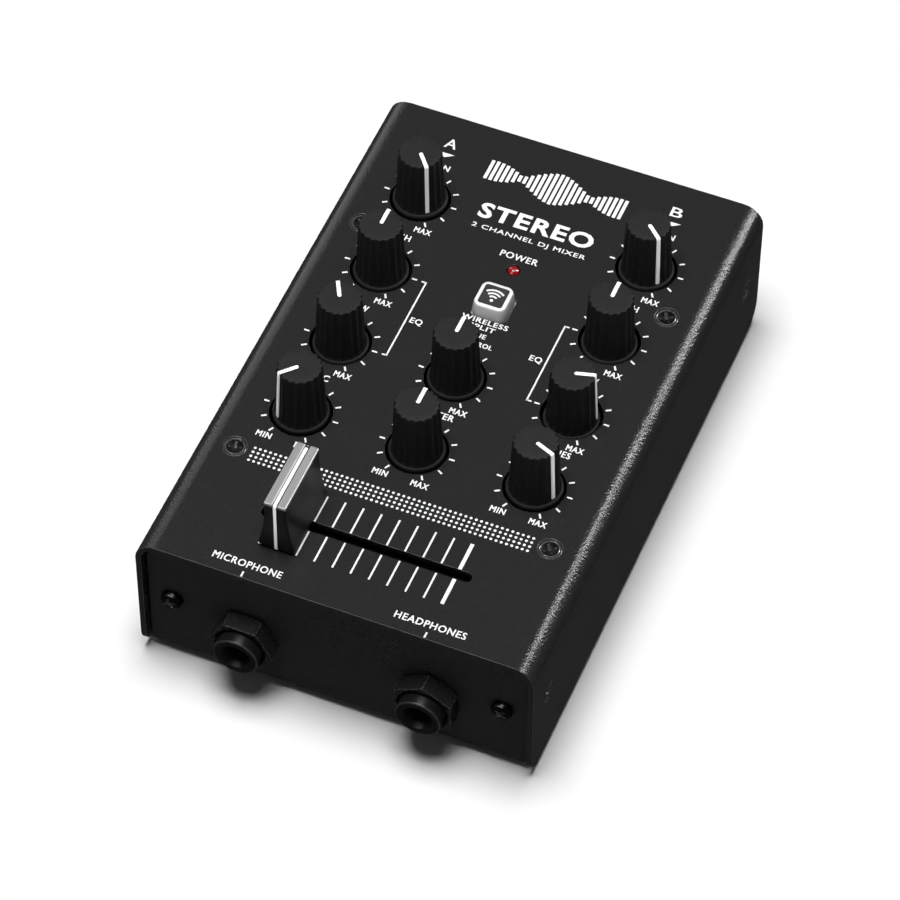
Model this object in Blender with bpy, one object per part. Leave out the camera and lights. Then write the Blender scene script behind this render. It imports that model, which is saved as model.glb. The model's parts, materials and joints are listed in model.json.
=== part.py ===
"""A two-channel desktop mixer for DJs, built up from its separate pieces.

Metres, +Z up, +X to the operator's right, -Y towards the operator.
The origin is at the middle of the base, on the surface that the feet stand on.
"""
import math

import bmesh
import bpy
from mathutils import Matrix, Vector

GAP = 0.0003  # between pieces that touch

# Case
CASE_WIDTH = 0.1100
CASE_DEPTH = 0.1688
CASE_HEIGHT = 0.0432
COVER_SHEET = 0.0015
COVER_BEND = 0.0062  # outside radius of the cover's two long bends
COVER_FRONT_CORNER = 0.0050
COVER_REAR_CORNER = 0.0065
PANEL_RECESS = 0.0021  # front and rear panels behind the cover's edges
CHASSIS_SHEET = 0.0012
CHASSIS_BEND = 0.0020
CHASSIS_SIDE_GAP = 0.0007
BEND_STEPS = 6
CHASSIS_BEND_STEPS = 4

# Feet
FOOT_HEIGHT = 0.0020
FOOT_RADIUS = 0.0050
FOOT_INSET = 0.0120

# Controls on the top, each given by its middle
COLUMN_INSET = 0.0222  # outer dials from the case's sides
DIAL_ROWS = (0.0526, 0.0251, -0.0023, -0.0285)
CROSSFADER_INSET = 0.0220  # from the case's front edge
CROSSFADER_TRAVEL = 0.0450
CROSSFADER_REST = -0.0203  # where the cap stands along the slot
BUTTON_Y = 0.0245
LED_X = 0.0002
LED_Y = 0.0382

# Turning knobs and the potentiometers under them
KNOB_RISE = 0.0186  # top of a knob that isn't pushed down, above the cover
KNOB_SINK = 0.0015  # its skirt's underside below the cover's top
SKIRT_RADIUS = 0.0076
SKIRT_HEIGHT = 0.0025
SKIRT_LIP = 0.0004
SKIRT_CLEARANCE = 0.0009  # round the skirt, in the cover's hole
KNOB_BASE_RADIUS = 0.0068
KNOB_TOP_RADIUS = 0.0060
FLUTES = 18
FLUTE_DEPTH = 0.0005
POINTER_WIDTH = 0.0010
POINTER_START = 0.0003
POINTER_DEPTH = 0.0003
SHAFT_RADIUS = 0.0030
SHAFT_FLAT = 0.0015  # depth of the flat on the shaft
KNOB_ROOF = 0.0050
KNOB_RECESS_RADIUS = 0.0055
KNOB_RECESS_DEPTH = 0.0050
BUSHING_WALL = 0.0015
BUSHING_DROP = 0.0020  # bushing's end below the cover's top
POT_WIDTH = 0.0098
POT_DEPTH = 0.0110
POT_HEIGHT = 0.0068
POT_WALL = 0.0007
POT_ROOF = 0.0015
ROTOR_HEIGHT = 0.0020

# Crossfader
SLOT_WIDTH = 0.0032
SLOT_LENGTH = 0.0584
TRACK_WIDTH = 0.0090
TRACK_LENGTH = 0.0640
TRACK_HEIGHT = 0.0075
TRACK_SLOT_DEPTH = 0.0050
LEVER_WIDTH = 0.0050
LEVER_THICKNESS = 0.0012
LEVER_RISE = 0.0100
CAP_RISE = 0.0185
CAP_CLEARANCE = 0.0008
CAP_LENGTH = 0.0217
CAP_TOP_WIDTH = 0.0061
CAP_BASE_WIDTH = 0.0102
CAP_FOOT_HEIGHT = 0.0015

# Push button, its switch and the power light
BUTTON_BASE = 0.0097
BUTTON_TOP = 0.0088
BUTTON_CORNER = 0.0022
BUTTON_RISE = 0.0040
BUTTON_TRAVEL = 0.0007
BUTTON_FLANGE = 0.0125
BUTTON_FLANGE_THICKNESS = 0.0010
BUTTON_HOLE_CLEARANCE = 0.0004
SWITCH_BODY = 0.0120
SWITCH_BODY_HEIGHT = 0.0034
SWITCH_STEM = 0.0038
LED_RADIUS = 0.0017
LED_FLANGE_RADIUS = 0.0022
LED_HEIGHT = 0.0054
LED_RISE = 0.0008
LED_HOLE_RADIUS = 0.0020
LED_LEG = 0.0005
LED_LEG_PITCH = 0.00127

# Boards
MAIN_BOARD_DROP = 0.0110  # below the cover's underside
BOARD_THICKNESS = 0.0016
BOARD_SIDE_GAP = 0.0025  # from the chassis' side edge
SPACER_RADIUS = 0.0030
HEADER_LENGTH = 0.0300
HEADER_WIDTH = 0.0025

# Sockets on the front
JACK_PITCH = 0.0508
JACK_OFFSET = 0.0005  # middle of the pair, to the right of the case's middle
JACK_DEPTH_BELOW_TOP = 0.0262
JACK_BODY = 0.0160
JACK_BODY_LENGTH = 0.0200
JACK_BUSHING_RADIUS = 0.0063
JACK_NOSE_CHAMFER = 0.0003
JACK_MOUTH_RADIUS = 0.0050
JACK_MOUTH_DEPTH = 0.0016
JACK_BORE_RADIUS = 0.0032
JACK_BORE_LENGTH = 0.0260
JACK_NUT_ACROSS_FLATS = 0.0158
JACK_NUT_THICKNESS = 0.0050
JACK_NUT_BACK_RADIUS = 0.0080  # where its corners' chamfer meets the panel
CONNECTOR_REACH = 0.0084  # sockets' noses in front of their panel

# Sockets and switch on the rear
PHONO_PITCH = 0.0142
PHONO_RADIUS = 0.00415
PHONO_HOLE_RADIUS = 0.0017
PHONO_HOLE_DEPTH = 0.0090
PHONO_BLOCK_WIDTH = 0.0100
PHONO_BLOCK_LENGTH = 0.0120
PHONO_BLOCK_MARGIN = 0.0060  # block above and below its two sockets' middles
PHONO_COLUMNS = {"a": -0.0360, "b": -0.0170, "master": 0.0020}
DC_JACK_X = 0.0180
DC_JACK_WIDTH = 0.0090
DC_JACK_LENGTH = 0.0135
DC_JACK_RADIUS = 0.0039
DC_JACK_BORE_RADIUS = 0.0031
DC_JACK_PIN_RADIUS = 0.0010
DC_JACK_REACH = 0.0020  # in front of its panel
DC_JACK_BORE_LENGTH = 0.0095
POWER_SWITCH_X = 0.0330
POWER_SWITCH_WIDTH = 0.0160
POWER_SWITCH_HEIGHT = 0.0076
POWER_SWITCH_LENGTH = 0.0065
POWER_LEVER_WIDTH = 0.0040
POWER_LEVER_HEIGHT = 0.0036
POWER_LEVER_REACH = 0.0030
POWER_LEVER_TRAVEL = 0.0040
POWER_LEVER_DEPTH = 0.0040  # inside the switch

# Screws
SCREW_RADIUS = 0.0015
SCREW_HEAD_RADIUS = 0.0030
SCREW_LENGTH = 0.0080
SCREW_HOLE_RADIUS = 0.0018
PAN_HEAD_RADIUS = 0.0028
PAN_HEAD_HEIGHT = 0.0020
RECESS_SPAN = 0.0034  # the cross recess from tip to tip
RECESS_WIDTH = 0.0009
RECESS_DEPTH = 0.0011
COVER_SCREW_INSET = 0.0110  # from the case's sides
COVER_SCREW_FRONT_Y = -0.0458
COVER_SCREW_REAR_Y = 0.0384
PANEL_SCREW_INSET = 0.0090
PANEL_SCREW_DROP = 0.0215  # below the cover's top
SIDE_SCREW_INSET = 0.0109
SIDE_SCREW_DROP = 0.0210
TAB_WIDTH = 0.0110
TAB_HEIGHT = 0.0110

# Levels and places that follow
TOP = FOOT_HEIGHT + CASE_HEIGHT
COVER_UNDERSIDE = TOP - COVER_SHEET
PANEL_Y = CASE_DEPTH / 2 - PANEL_RECESS  # outer faces of the front and rear panels
PANEL_INNER_Y = PANEL_Y - CHASSIS_SHEET
FLANGE_INNER_X = CASE_WIDTH / 2 - COVER_SHEET
CHASSIS_HALF_WIDTH = FLANGE_INNER_X - CHASSIS_SIDE_GAP
FLOOR_TOP = FOOT_HEIGHT + CHASSIS_SHEET
PANEL_TOP = COVER_UNDERSIDE - 2 * GAP
MAIN_BOARD_TOP = COVER_UNDERSIDE - MAIN_BOARD_DROP
MAIN_BOARD_UNDERSIDE = MAIN_BOARD_TOP - BOARD_THICKNESS
JACK_Z = TOP - JACK_DEPTH_BELOW_TOP
SOCKET_BOARD_TOP = JACK_Z - JACK_BODY / 2 - GAP
SOCKET_BOARD_UNDERSIDE = SOCKET_BOARD_TOP - BOARD_THICKNESS
BOARD_HALF_WIDTH = CHASSIS_HALF_WIDTH - BOARD_SIDE_GAP
PHONO_FRONT_Y = PANEL_INNER_Y - GAP - PHONO_BLOCK_LENGTH
NOSE_Y = PANEL_Y + CONNECTOR_REACH
FOOT_X = CASE_WIDTH / 2 - FOOT_INSET
FOOT_Y = CASE_DEPTH / 2 - FOOT_INSET
PANEL_SCREW_X = CASE_WIDTH / 2 - PANEL_SCREW_INSET
PANEL_SCREW_Z = TOP - PANEL_SCREW_DROP
SIDE_SCREW_Y = CASE_DEPTH / 2 - SIDE_SCREW_INSET
SIDE_SCREW_Z = TOP - SIDE_SCREW_DROP
CROSSFADER_Y = CROSSFADER_INSET - CASE_DEPTH / 2
BUSHING_RADIUS = SHAFT_RADIUS + BUSHING_WALL
DIAL_HOLE_RADIUS = SKIRT_RADIUS + SKIRT_CLEARANCE
KNOB_HEIGHT = KNOB_RISE + KNOB_SINK
POT_BOTTOM = MAIN_BOARD_TOP + GAP
PHONO_LOW_Z = SOCKET_BOARD_TOP + GAP + PHONO_BLOCK_MARGIN
PHONO_PANEL_HOLE_RADIUS = PHONO_RADIUS + 1.5 * GAP
DC_JACK_Z = SOCKET_BOARD_TOP + GAP + DC_JACK_WIDTH / 2
POWER_SWITCH_Z = SOCKET_BOARD_TOP + GAP + POWER_SWITCH_HEIGHT / 2
COVER_SCREW_X = CASE_WIDTH / 2 - COVER_SCREW_INSET
COVER_SCREWS = {
    "front_left": (-COVER_SCREW_X, COVER_SCREW_FRONT_Y),
    "front_right": (COVER_SCREW_X, COVER_SCREW_FRONT_Y),
    "rear_left": (-COVER_SCREW_X, COVER_SCREW_REAR_Y),
    "rear_right": (COVER_SCREW_X, COVER_SCREW_REAR_Y),
}
JACKS = {
    "microphone": JACK_OFFSET - JACK_PITCH / 2,
    "headphone": JACK_OFFSET + JACK_PITCH / 2,
}

# Each dial's middle, where its pointer stands in degrees anticlockwise from +X,
# and how far its knob is pushed down on its shaft
RIGHT = CASE_WIDTH / 2 - COLUMN_INSET
MIDDLE = 0.0
LEFT = -RIGHT
DIALS = {
    "gain_a": (LEFT, DIAL_ROWS[0], -51.0, 0.0),
    "high_a": (LEFT, DIAL_ROWS[1], 90.0, 0.0007),
    "low_a": (LEFT, DIAL_ROWS[2], 118.0, 0.0011),
    "microphone": (LEFT, DIAL_ROWS[3], 226.0, 0.0001),
    "cue": (MIDDLE, DIAL_ROWS[2], 90.0, 0.0005),
    "master": (MIDDLE, DIAL_ROWS[3], 90.0, 0.0003),
    "gain_b": (RIGHT, DIAL_ROWS[0], -43.0, 0.0007),
    "high_b": (RIGHT, DIAL_ROWS[1], 90.0, 0.0013),
    "low_b": (RIGHT, DIAL_ROWS[2], 15.5, 0.0018),
    "phones": (RIGHT, DIAL_ROWS[3], -22.0, 0.0002),
}
DEEPEST_SEAT = max(seat for _, _, _, seat in DIALS.values())
SHAFT_END = TOP - KNOB_SINK - DEEPEST_SEAT + KNOB_HEIGHT - KNOB_ROOF - GAP

# Colour, metallic, roughness
FINISHES = {
    "powder_coat": ((0.020, 0.020, 0.021), 0.0, 0.55),
    "knob_plastic": ((0.012, 0.012, 0.013), 0.0, 0.50),
    "cap_plastic": ((0.015, 0.015, 0.016), 0.0, 0.35),
    "white_plastic": ((0.80, 0.80, 0.80), 0.0, 0.35),
    "black_plastic": ((0.010, 0.010, 0.010), 0.0, 0.40),
    "board": ((0.020, 0.120, 0.050), 0.0, 0.45),
    "bright_steel": ((0.60, 0.60, 0.58), 1.0, 0.30),
    "black_steel": ((0.030, 0.030, 0.030), 0.8, 0.35),
    "nickel": ((0.62, 0.60, 0.56), 1.0, 0.25),
    "red_lens": ((0.50, 0.010, 0.010), 0.0, 0.15),
    "rubber": ((0.015, 0.015, 0.015), 0.0, 0.85),
}


def material(finish):
    found = bpy.data.materials.get(finish)
    if found:
        return found
    colour, metallic, roughness = FINISHES[finish]
    made = bpy.data.materials.new(finish)
    made.use_nodes = True
    shader = made.node_tree.nodes["Principled BSDF"]
    shader.inputs["Base Color"].default_value = (*colour, 1.0)
    shader.inputs["Metallic"].default_value = metallic
    shader.inputs["Roughness"].default_value = roughness
    return made


# Outlines ------------------------------------------------------------------


def arc(centre, radius, start, end, steps):
    """Points on an arc, both ends included; angles in degrees."""
    points = []
    for step in range(steps + 1):
        angle = math.radians(start + (end - start) * step / steps)
        points.append((centre[0] + radius * math.cos(angle), centre[1] + radius * math.sin(angle)))
    return points


def rounded_rectangle(width, depth, radius, steps=4, centre=(0.0, 0.0)):
    outline = []
    for turn, (side_x, side_y) in enumerate(((1, 1), (-1, 1), (-1, -1), (1, -1))):
        corner = (
            centre[0] + side_x * (width / 2 - radius),
            centre[1] + side_y * (depth / 2 - radius),
        )
        outline += arc(corner, radius, 90 * turn, 90 * turn + 90, steps)
    return outline


def bent_channel(half_width, height, sheet, bend, steps):
    """A U of sheet open downwards: its web's outer face at 0, its flanges' ends at -height."""
    outer = [(half_width, -height)]
    outer += arc((half_width - bend, -bend), bend, 0, 90, steps)
    outer += arc((bend - half_width, -bend), bend, 90, 180, steps)
    outer.append((-half_width, -height))
    inner = [(sheet - half_width, -height)]
    inner += arc((bend - half_width, -bend), bend - sheet, 180, 90, steps)
    inner += arc((half_width - bend, -bend), bend - sheet, 90, 0, steps)
    inner.append((half_width - sheet, -height))
    return outer + inner


def hexagon(across_flats, flat_up):
    first = 0 if flat_up else 30
    return arc((0, 0), across_flats / math.sqrt(3), first, first + 300, 5)


def fluted_ring(ridge_radius, valley_radius, height):
    """Alternate ridges and valleys round a knob, starting on a ridge."""
    ring = []
    for point in range(2 * FLUTES):
        radius = valley_radius if point % 2 else ridge_radius
        angle = math.pi * point / FLUTES
        ring.append(Vector((radius * math.cos(angle), radius * math.sin(angle), height)))
    return ring


# Solids --------------------------------------------------------------------


def lofted(shape, rings):
    """Skin over rings with equal numbers of points, closed by a face at each end."""
    rows = [[shape.verts.new(point) for point in ring] for ring in rings]
    count = len(rows[0])
    for lower, upper in zip(rows, rows[1:]):
        for here in range(count):
            there = (here + 1) % count
            shape.faces.new((lower[here], lower[there], upper[there], upper[here]))
    shape.faces.new(rows[0][::-1])
    shape.faces.new(rows[-1])
    return shape


def prism(shape, outline, start, end, axis="Z"):
    """Extrude an outline, given anticlockwise as seen from the axis' positive end."""
    place = {
        "X": lambda u, v, along: Vector((along, u, v)),
        "Y": lambda u, v, along: Vector((v, along, u)),
        "Z": lambda u, v, along: Vector((u, v, along)),
    }[axis]
    return lofted(shape, [[place(u, v, along) for u, v in outline] for along in (start, end)])


def box(shape, low, high):
    outline = [(low[0], low[1]), (high[0], low[1]), (high[0], high[1]), (low[0], high[1])]
    return prism(shape, outline, low[2], high[2])


def turned(shape, profile, segments=24, turn=None):
    """Turn (radius, height) points about +Z, then apply the matrix; a zero radius is a tip."""
    turn = turn or Matrix()
    rows = []
    for radius, height in profile:
        angles = [0.0] if radius == 0 else [2 * math.pi * step / segments for step in range(segments)]
        rows.append([
            shape.verts.new(turn @ Vector((radius * math.cos(a), radius * math.sin(a), height)))
            for a in angles
        ])
    for lower, upper in zip(rows, rows[1:]):
        for here in range(segments):
            there = (here + 1) % segments
            corners = []
            for row, step in ((lower, here), (lower, there), (upper, there), (upper, here)):
                corner = row[step % len(row)]
                if corner not in corners:
                    corners.append(corner)
            if len(corners) > 2:
                shape.faces.new(corners)
    return shape


def cylinder(shape, radius, start, end, segments=24, turn=None):
    return turned(shape, [(0, start), (radius, start), (radius, end), (0, end)], segments, turn)


def boolean(shape, tool, operation):
    """The Boolean of two closed shapes; both are used up."""
    operands = []
    for part in (shape, tool):
        mesh = bpy.data.meshes.new("operand")
        part.to_mesh(mesh)
        part.free()
        operand = bpy.data.objects.new("operand", mesh)
        bpy.context.scene.collection.objects.link(operand)
        operands.append(operand)
    modifier = operands[0].modifiers.new("Boolean", "BOOLEAN")
    modifier.operation = operation
    modifier.solver = "EXACT"
    modifier.object = operands[1]
    result = bmesh.new()
    result.from_object(operands[0], bpy.context.evaluated_depsgraph_get())
    for operand in operands:
        mesh = operand.data
        bpy.data.objects.remove(operand)
        bpy.data.meshes.remove(mesh)
    return result


def cut(shape, tool):
    return boolean(shape, tool, "DIFFERENCE")


def joined(shape, tool):
    return boolean(shape, tool, "UNION")


def mesh_of(shape, name):
    mesh = bpy.data.meshes.new(name)
    shape.to_mesh(mesh)
    shape.free()
    mesh.shade_smooth()
    mesh.set_sharp_from_angle(angle=math.radians(32))
    return mesh


def place(name, mesh, finish, location=(0, 0, 0), turn=0.0, parent=None):
    """Put a mesh into the scene as one named piece; turn is about +Z, in degrees."""
    if not mesh.materials:
        mesh.materials.append(material(finish))
    piece = bpy.data.objects.new(name, mesh)
    piece.location = location
    piece.rotation_euler = (0, 0, math.radians(turn))
    bpy.context.scene.collection.objects.link(piece)
    if parent:
        piece.parent = parent
    return piece


def axis_empty(name, location):
    empty = bpy.data.objects.new(name, None)
    empty.location = location
    empty.empty_display_size = 0.01
    bpy.context.scene.collection.objects.link(empty)
    return empty


TOWARDS_FRONT = Matrix.Rotation(math.radians(90), 4, "X")  # +Z to -Y
TOWARDS_REAR = Matrix.Rotation(math.radians(-90), 4, "X")  # +Z to +Y
SIDEWAYS = Matrix.Rotation(math.radians(90), 4, "Y")  # +Z to +X


def moved(x, y, z, turn=None):
    return Matrix.Translation((x, y, z)) @ (turn or Matrix())


# Case ----------------------------------------------------------------------


def corner_trim(shape, y, radius, side):
    """Cutter for a flange's lower corner at y; side is +1 at the rear and -1 at the front."""
    low = FOOT_HEIGHT
    over = 0.001
    reach = CASE_WIDTH / 2 + over
    curve = arc((y - side * radius, low + radius), radius, 270, 360, BEND_STEPS)
    if side < 0:
        curve = [(2 * (y + radius) - point_y, point_z) for point_y, point_z in curve]
    outline = curve + [(y + side * over, low + radius), (y + side * over, low - over)]
    outline.append((y - side * radius, low - over))
    if side > 0:
        outline = outline[::-1]
    return prism(shape, outline, -reach, reach, "X")


def countersink(shape, turn):
    """Cutter for a countersunk screw in the cover; +Z is out of the hole, 0 at the face."""
    mouth = SCREW_HEAD_RADIUS + 1.3 * GAP
    over = 0.0005
    profile = [
        (0, -0.004),
        (SCREW_HOLE_RADIUS, -0.004),
        (SCREW_HOLE_RADIUS, SCREW_HOLE_RADIUS - mouth),
        (mouth + over, over),
        (0, over),
    ]
    return turned(shape, profile, 20, turn)


def top_cover():
    """Top and both sides, bent from one sheet, with four screwing tabs turned in."""
    outline = bent_channel(CASE_WIDTH / 2, CASE_HEIGHT, COVER_SHEET, COVER_BEND, BEND_STEPS)
    outline = [(z + TOP, x) for x, z in outline][::-1]
    shape = prism(bmesh.new(), outline[::-1], -CASE_DEPTH / 2, CASE_DEPTH / 2, "Y")
    tabs = bmesh.new()
    for side_x in (-1, 1):
        for side_y in (-1, 1):
            outside = side_y * (PANEL_INNER_Y - 2 * GAP)
            inside = outside - side_y * COVER_SHEET
            rooted = side_x * (FLANGE_INNER_X + COVER_SHEET / 2)
            ends_x = sorted((rooted, side_x * (FLANGE_INNER_X - TAB_WIDTH)))
            ends_y = sorted((inside, outside))
            box(
                tabs,
                (ends_x[0], ends_y[0], PANEL_SCREW_Z - TAB_HEIGHT / 2),
                (ends_x[1], ends_y[1], PANEL_SCREW_Z + TAB_HEIGHT / 2),
            )
    shape = joined(shape, tabs)

    holes = bmesh.new()
    corner_trim(holes, -CASE_DEPTH / 2, COVER_FRONT_CORNER, -1)
    corner_trim(holes, CASE_DEPTH / 2, COVER_REAR_CORNER, 1)
    low = COVER_UNDERSIDE - 0.001
    high = TOP + 0.001
    for x, y, _, _ in DIALS.values():
        cylinder(holes, DIAL_HOLE_RADIUS, low, high, 24, moved(x, y, 0))
    slot = rounded_rectangle(SLOT_LENGTH, SLOT_WIDTH, SLOT_WIDTH / 2 * 0.999, 5, (0, CROSSFADER_Y))
    prism(holes, slot, low, high)
    hole = BUTTON_BASE + 2 * BUTTON_HOLE_CLEARANCE
    prism(holes, rounded_rectangle(hole, hole, BUTTON_CORNER, 4, (0, BUTTON_Y)), low, high)
    cylinder(holes, LED_HOLE_RADIUS, low, high, 20, moved(LED_X, LED_Y, 0))
    for x, y in COVER_SCREWS.values():
        countersink(holes, moved(x, y, TOP))
    for side in (-1, 1):
        for y in (-SIDE_SCREW_Y, SIDE_SCREW_Y):
            turn = Matrix.Rotation(math.radians(90 * side), 4, "Y")
            countersink(holes, moved(side * CASE_WIDTH / 2, y, SIDE_SCREW_Z, turn))
        tab_y = PANEL_INNER_Y - 2 * GAP - COVER_SHEET / 2
        for y in (-tab_y, tab_y):
            across = moved(side * PANEL_SCREW_X, y, PANEL_SCREW_Z, TOWARDS_REAR)
            cylinder(holes, SCREW_HOLE_RADIUS, -COVER_SHEET, COVER_SHEET, 12, across)
    return cut(shape, holes)


def chassis():
    """Base, front panel and rear panel, bent from one sheet, with side lugs and board posts."""
    panel_height = PANEL_TOP - FOOT_HEIGHT
    outline = bent_channel(PANEL_Y, panel_height, CHASSIS_SHEET, CHASSIS_BEND, CHASSIS_BEND_STEPS)
    outline = [(y, FOOT_HEIGHT - z) for y, z in outline][::-1]
    shape = prism(bmesh.new(), outline, -CHASSIS_HALF_WIDTH, CHASSIS_HALF_WIDTH, "X")

    extras = bmesh.new()
    lug_outer = FLANGE_INNER_X - 2 * GAP
    lug_inner = CHASSIS_HALF_WIDTH - CHASSIS_SHEET / 2
    for side in (-1, 1):
        ends = sorted((side * lug_inner, side * lug_outer))
        for y in (-SIDE_SCREW_Y, SIDE_SCREW_Y):
            lug_low = (ends[0], y - TAB_WIDTH / 2, FOOT_HEIGHT + CHASSIS_SHEET / 4)
            box(extras, lug_low, (ends[1], y + TAB_WIDTH / 2, SIDE_SCREW_Z + TAB_HEIGHT / 2))
    post_low = FLOOR_TOP - CHASSIS_SHEET / 2
    for x, y in board_posts():
        cylinder(extras, SPACER_RADIUS, post_low, SOCKET_BOARD_UNDERSIDE - GAP, 12, moved(x, y, 0))
    shape = joined(shape, extras)

    holes = bmesh.new()
    over = 0.001
    corner = COVER_BEND - COVER_SHEET + GAP
    for side in (-1, 1):
        middle = (side * (CHASSIS_HALF_WIDTH - corner), PANEL_TOP - corner)
        start = 0 if side > 0 else 90
        curve = arc(middle, corner, start, start + 90, CHASSIS_BEND_STEPS)
        beyond_x = side * (CHASSIS_HALF_WIDTH + over)
        beyond_z = PANEL_TOP + over
        rest = [(middle[0], beyond_z), (beyond_x, beyond_z), (beyond_x, middle[1])]
        outline = curve + (rest if side > 0 else rest[::-1])
        prism(holes, [(z, x) for x, z in outline], -PANEL_Y - over, PANEL_Y + over, "Y")
        for end in (-1, 1):
            middle_y = end * (PANEL_Y - CHASSIS_SHEET / 2)
            across = moved(side * PANEL_SCREW_X, middle_y, PANEL_SCREW_Z, TOWARDS_REAR)
            cylinder(holes, SCREW_HOLE_RADIUS, -CHASSIS_SHEET, CHASSIS_SHEET, 12, across)
            lug_x = side * (lug_inner + lug_outer) / 2
            lug = moved(lug_x, end * SIDE_SCREW_Y, SIDE_SCREW_Z, SIDEWAYS)
            cylinder(holes, SCREW_RADIUS + GAP, -CHASSIS_SHEET, CHASSIS_SHEET, 12, lug)
    for x in JACKS.values():
        front = moved(x, -PANEL_Y, JACK_Z, TOWARDS_REAR)
        cylinder(holes, JACK_BUSHING_RADIUS + GAP, -over, CHASSIS_SHEET + over, 24, front)
    deep = -CHASSIS_SHEET - over
    for x in PHONO_COLUMNS.values():
        for z in (PHONO_LOW_Z, PHONO_LOW_Z + PHONO_PITCH):
            rear = moved(x, PANEL_Y, z, TOWARDS_REAR)
            cylinder(holes, PHONO_PANEL_HOLE_RADIUS, deep, over, 20, rear)
    dc = moved(DC_JACK_X, PANEL_Y, DC_JACK_Z, TOWARDS_REAR)
    cylinder(holes, DC_JACK_RADIUS + GAP, deep, over, 20, dc)
    reach = (POWER_LEVER_WIDTH + POWER_LEVER_TRAVEL) / 2 + 2 * GAP
    window = POWER_LEVER_HEIGHT / 2 + 2 * GAP
    box(
        holes,
        (POWER_SWITCH_X - reach, PANEL_INNER_Y - over, POWER_SWITCH_Z - window),
        (POWER_SWITCH_X + reach, PANEL_Y + over, POWER_SWITCH_Z + window),
    )
    return cut(shape, holes)


def board_posts():
    """Where the lower board stands on the base."""
    x = BOARD_HALF_WIDTH - 2 * SPACER_RADIUS
    return [(side_x * x, y) for side_x in (-1, 1) for y in (-0.050, 0.050)]


def foot():
    profile = [
        (0, 0),
        (FOOT_RADIUS, 0),
        (FOOT_RADIUS, FOOT_HEIGHT / 2),
        (FOOT_RADIUS - FOOT_HEIGHT / 4, FOOT_HEIGHT - GAP),
        (0, FOOT_HEIGHT - GAP),
    ]
    return turned(bmesh.new(), profile, 20)


# Boards --------------------------------------------------------------------


def main_board():
    """Upper board with the four threaded spacers that the cover's screws pull it up on."""
    front = CROSSFADER_Y - TRACK_WIDTH / 2 - 0.006
    rear = PHONO_FRONT_Y - 0.003
    shape = bmesh.new()
    low = (-BOARD_HALF_WIDTH, front, MAIN_BOARD_UNDERSIDE)
    box(shape, low, (BOARD_HALF_WIDTH, rear, MAIN_BOARD_TOP))
    spacers = bmesh.new()
    bores = bmesh.new()
    root = MAIN_BOARD_TOP - BOARD_THICKNESS / 2
    for x, y in COVER_SCREWS.values():
        spot = moved(x, y, 0)
        cylinder(spacers, SPACER_RADIUS, root, COVER_UNDERSIDE - GAP, 16, spot)
        cylinder(bores, SCREW_HOLE_RADIUS, MAIN_BOARD_UNDERSIDE - 0.001, TOP, 12, spot)
    return cut(joined(shape, spacers), bores)


def socket_board():
    """Lower board with the pin header that carries the signals up to the main board."""
    end = PANEL_INNER_Y - 3 * GAP - COVER_SHEET - 0.001
    shape = bmesh.new()
    low = (-BOARD_HALF_WIDTH, -end, SOCKET_BOARD_UNDERSIDE)
    box(shape, low, (BOARD_HALF_WIDTH, end, SOCKET_BOARD_TOP))
    header = bmesh.new()
    low = (-HEADER_LENGTH / 2, -HEADER_WIDTH / 2, SOCKET_BOARD_TOP - BOARD_THICKNESS / 2)
    box(header, low, (HEADER_LENGTH / 2, HEADER_WIDTH / 2, MAIN_BOARD_UNDERSIDE - GAP))
    return joined(shape, header)


# Turning controls ------------------------------------------------------------


def knob():
    """A fluted, tapering knob on a round skirt; its origin is on the axis at its underside."""
    rings = [
        fluted_ring(SKIRT_RADIUS, SKIRT_RADIUS, 0),
        fluted_ring(SKIRT_RADIUS, SKIRT_RADIUS, SKIRT_HEIGHT - SKIRT_LIP),
        fluted_ring(SKIRT_RADIUS - SKIRT_LIP, SKIRT_RADIUS - SKIRT_LIP, SKIRT_HEIGHT),
        fluted_ring(KNOB_BASE_RADIUS, KNOB_BASE_RADIUS - FLUTE_DEPTH, SKIRT_HEIGHT),
        fluted_ring(KNOB_TOP_RADIUS, KNOB_TOP_RADIUS - FLUTE_DEPTH, KNOB_HEIGHT),
    ]
    shape = lofted(bmesh.new(), rings)
    tools = bmesh.new()
    bore = SHAFT_RADIUS + GAP
    profile = [
        (0, -0.001),
        (KNOB_RECESS_RADIUS, -0.001),
        (KNOB_RECESS_RADIUS, KNOB_RECESS_DEPTH),
        (bore, KNOB_RECESS_DEPTH),
        (bore, KNOB_HEIGHT - KNOB_ROOF),
        (0, KNOB_HEIGHT - KNOB_ROOF),
    ]
    turned(tools, profile, 16)
    box(
        tools,
        (POINTER_START, -POINTER_WIDTH / 2, KNOB_HEIGHT - POINTER_DEPTH),
        (KNOB_TOP_RADIUS + 0.001, POINTER_WIDTH / 2, KNOB_HEIGHT + 0.001),
    )
    return cut(shape, tools)


def potentiometer():
    """Open-bottomed body with a bushing, its origin on the axis at its underside."""
    shape = bmesh.new()
    box(shape, (-POT_WIDTH / 2, -POT_DEPTH / 2, 0), (POT_WIDTH / 2, POT_DEPTH / 2, POT_HEIGHT))
    bushing = bmesh.new()
    cylinder(bushing, BUSHING_RADIUS, POT_HEIGHT - POT_ROOF / 2, TOP - BUSHING_DROP - POT_BOTTOM, 12)
    inside = bmesh.new()
    chamber = POT_WIDTH / 2 - POT_WALL
    bore = SHAFT_RADIUS + GAP
    roof = POT_HEIGHT - POT_ROOF
    over = TOP - POT_BOTTOM
    profile = [(0, -0.001), (chamber, -0.001), (chamber, roof), (bore, roof), (bore, over), (0, over)]
    turned(inside, profile, 12)
    return cut(joined(shape, bushing), inside)


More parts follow.
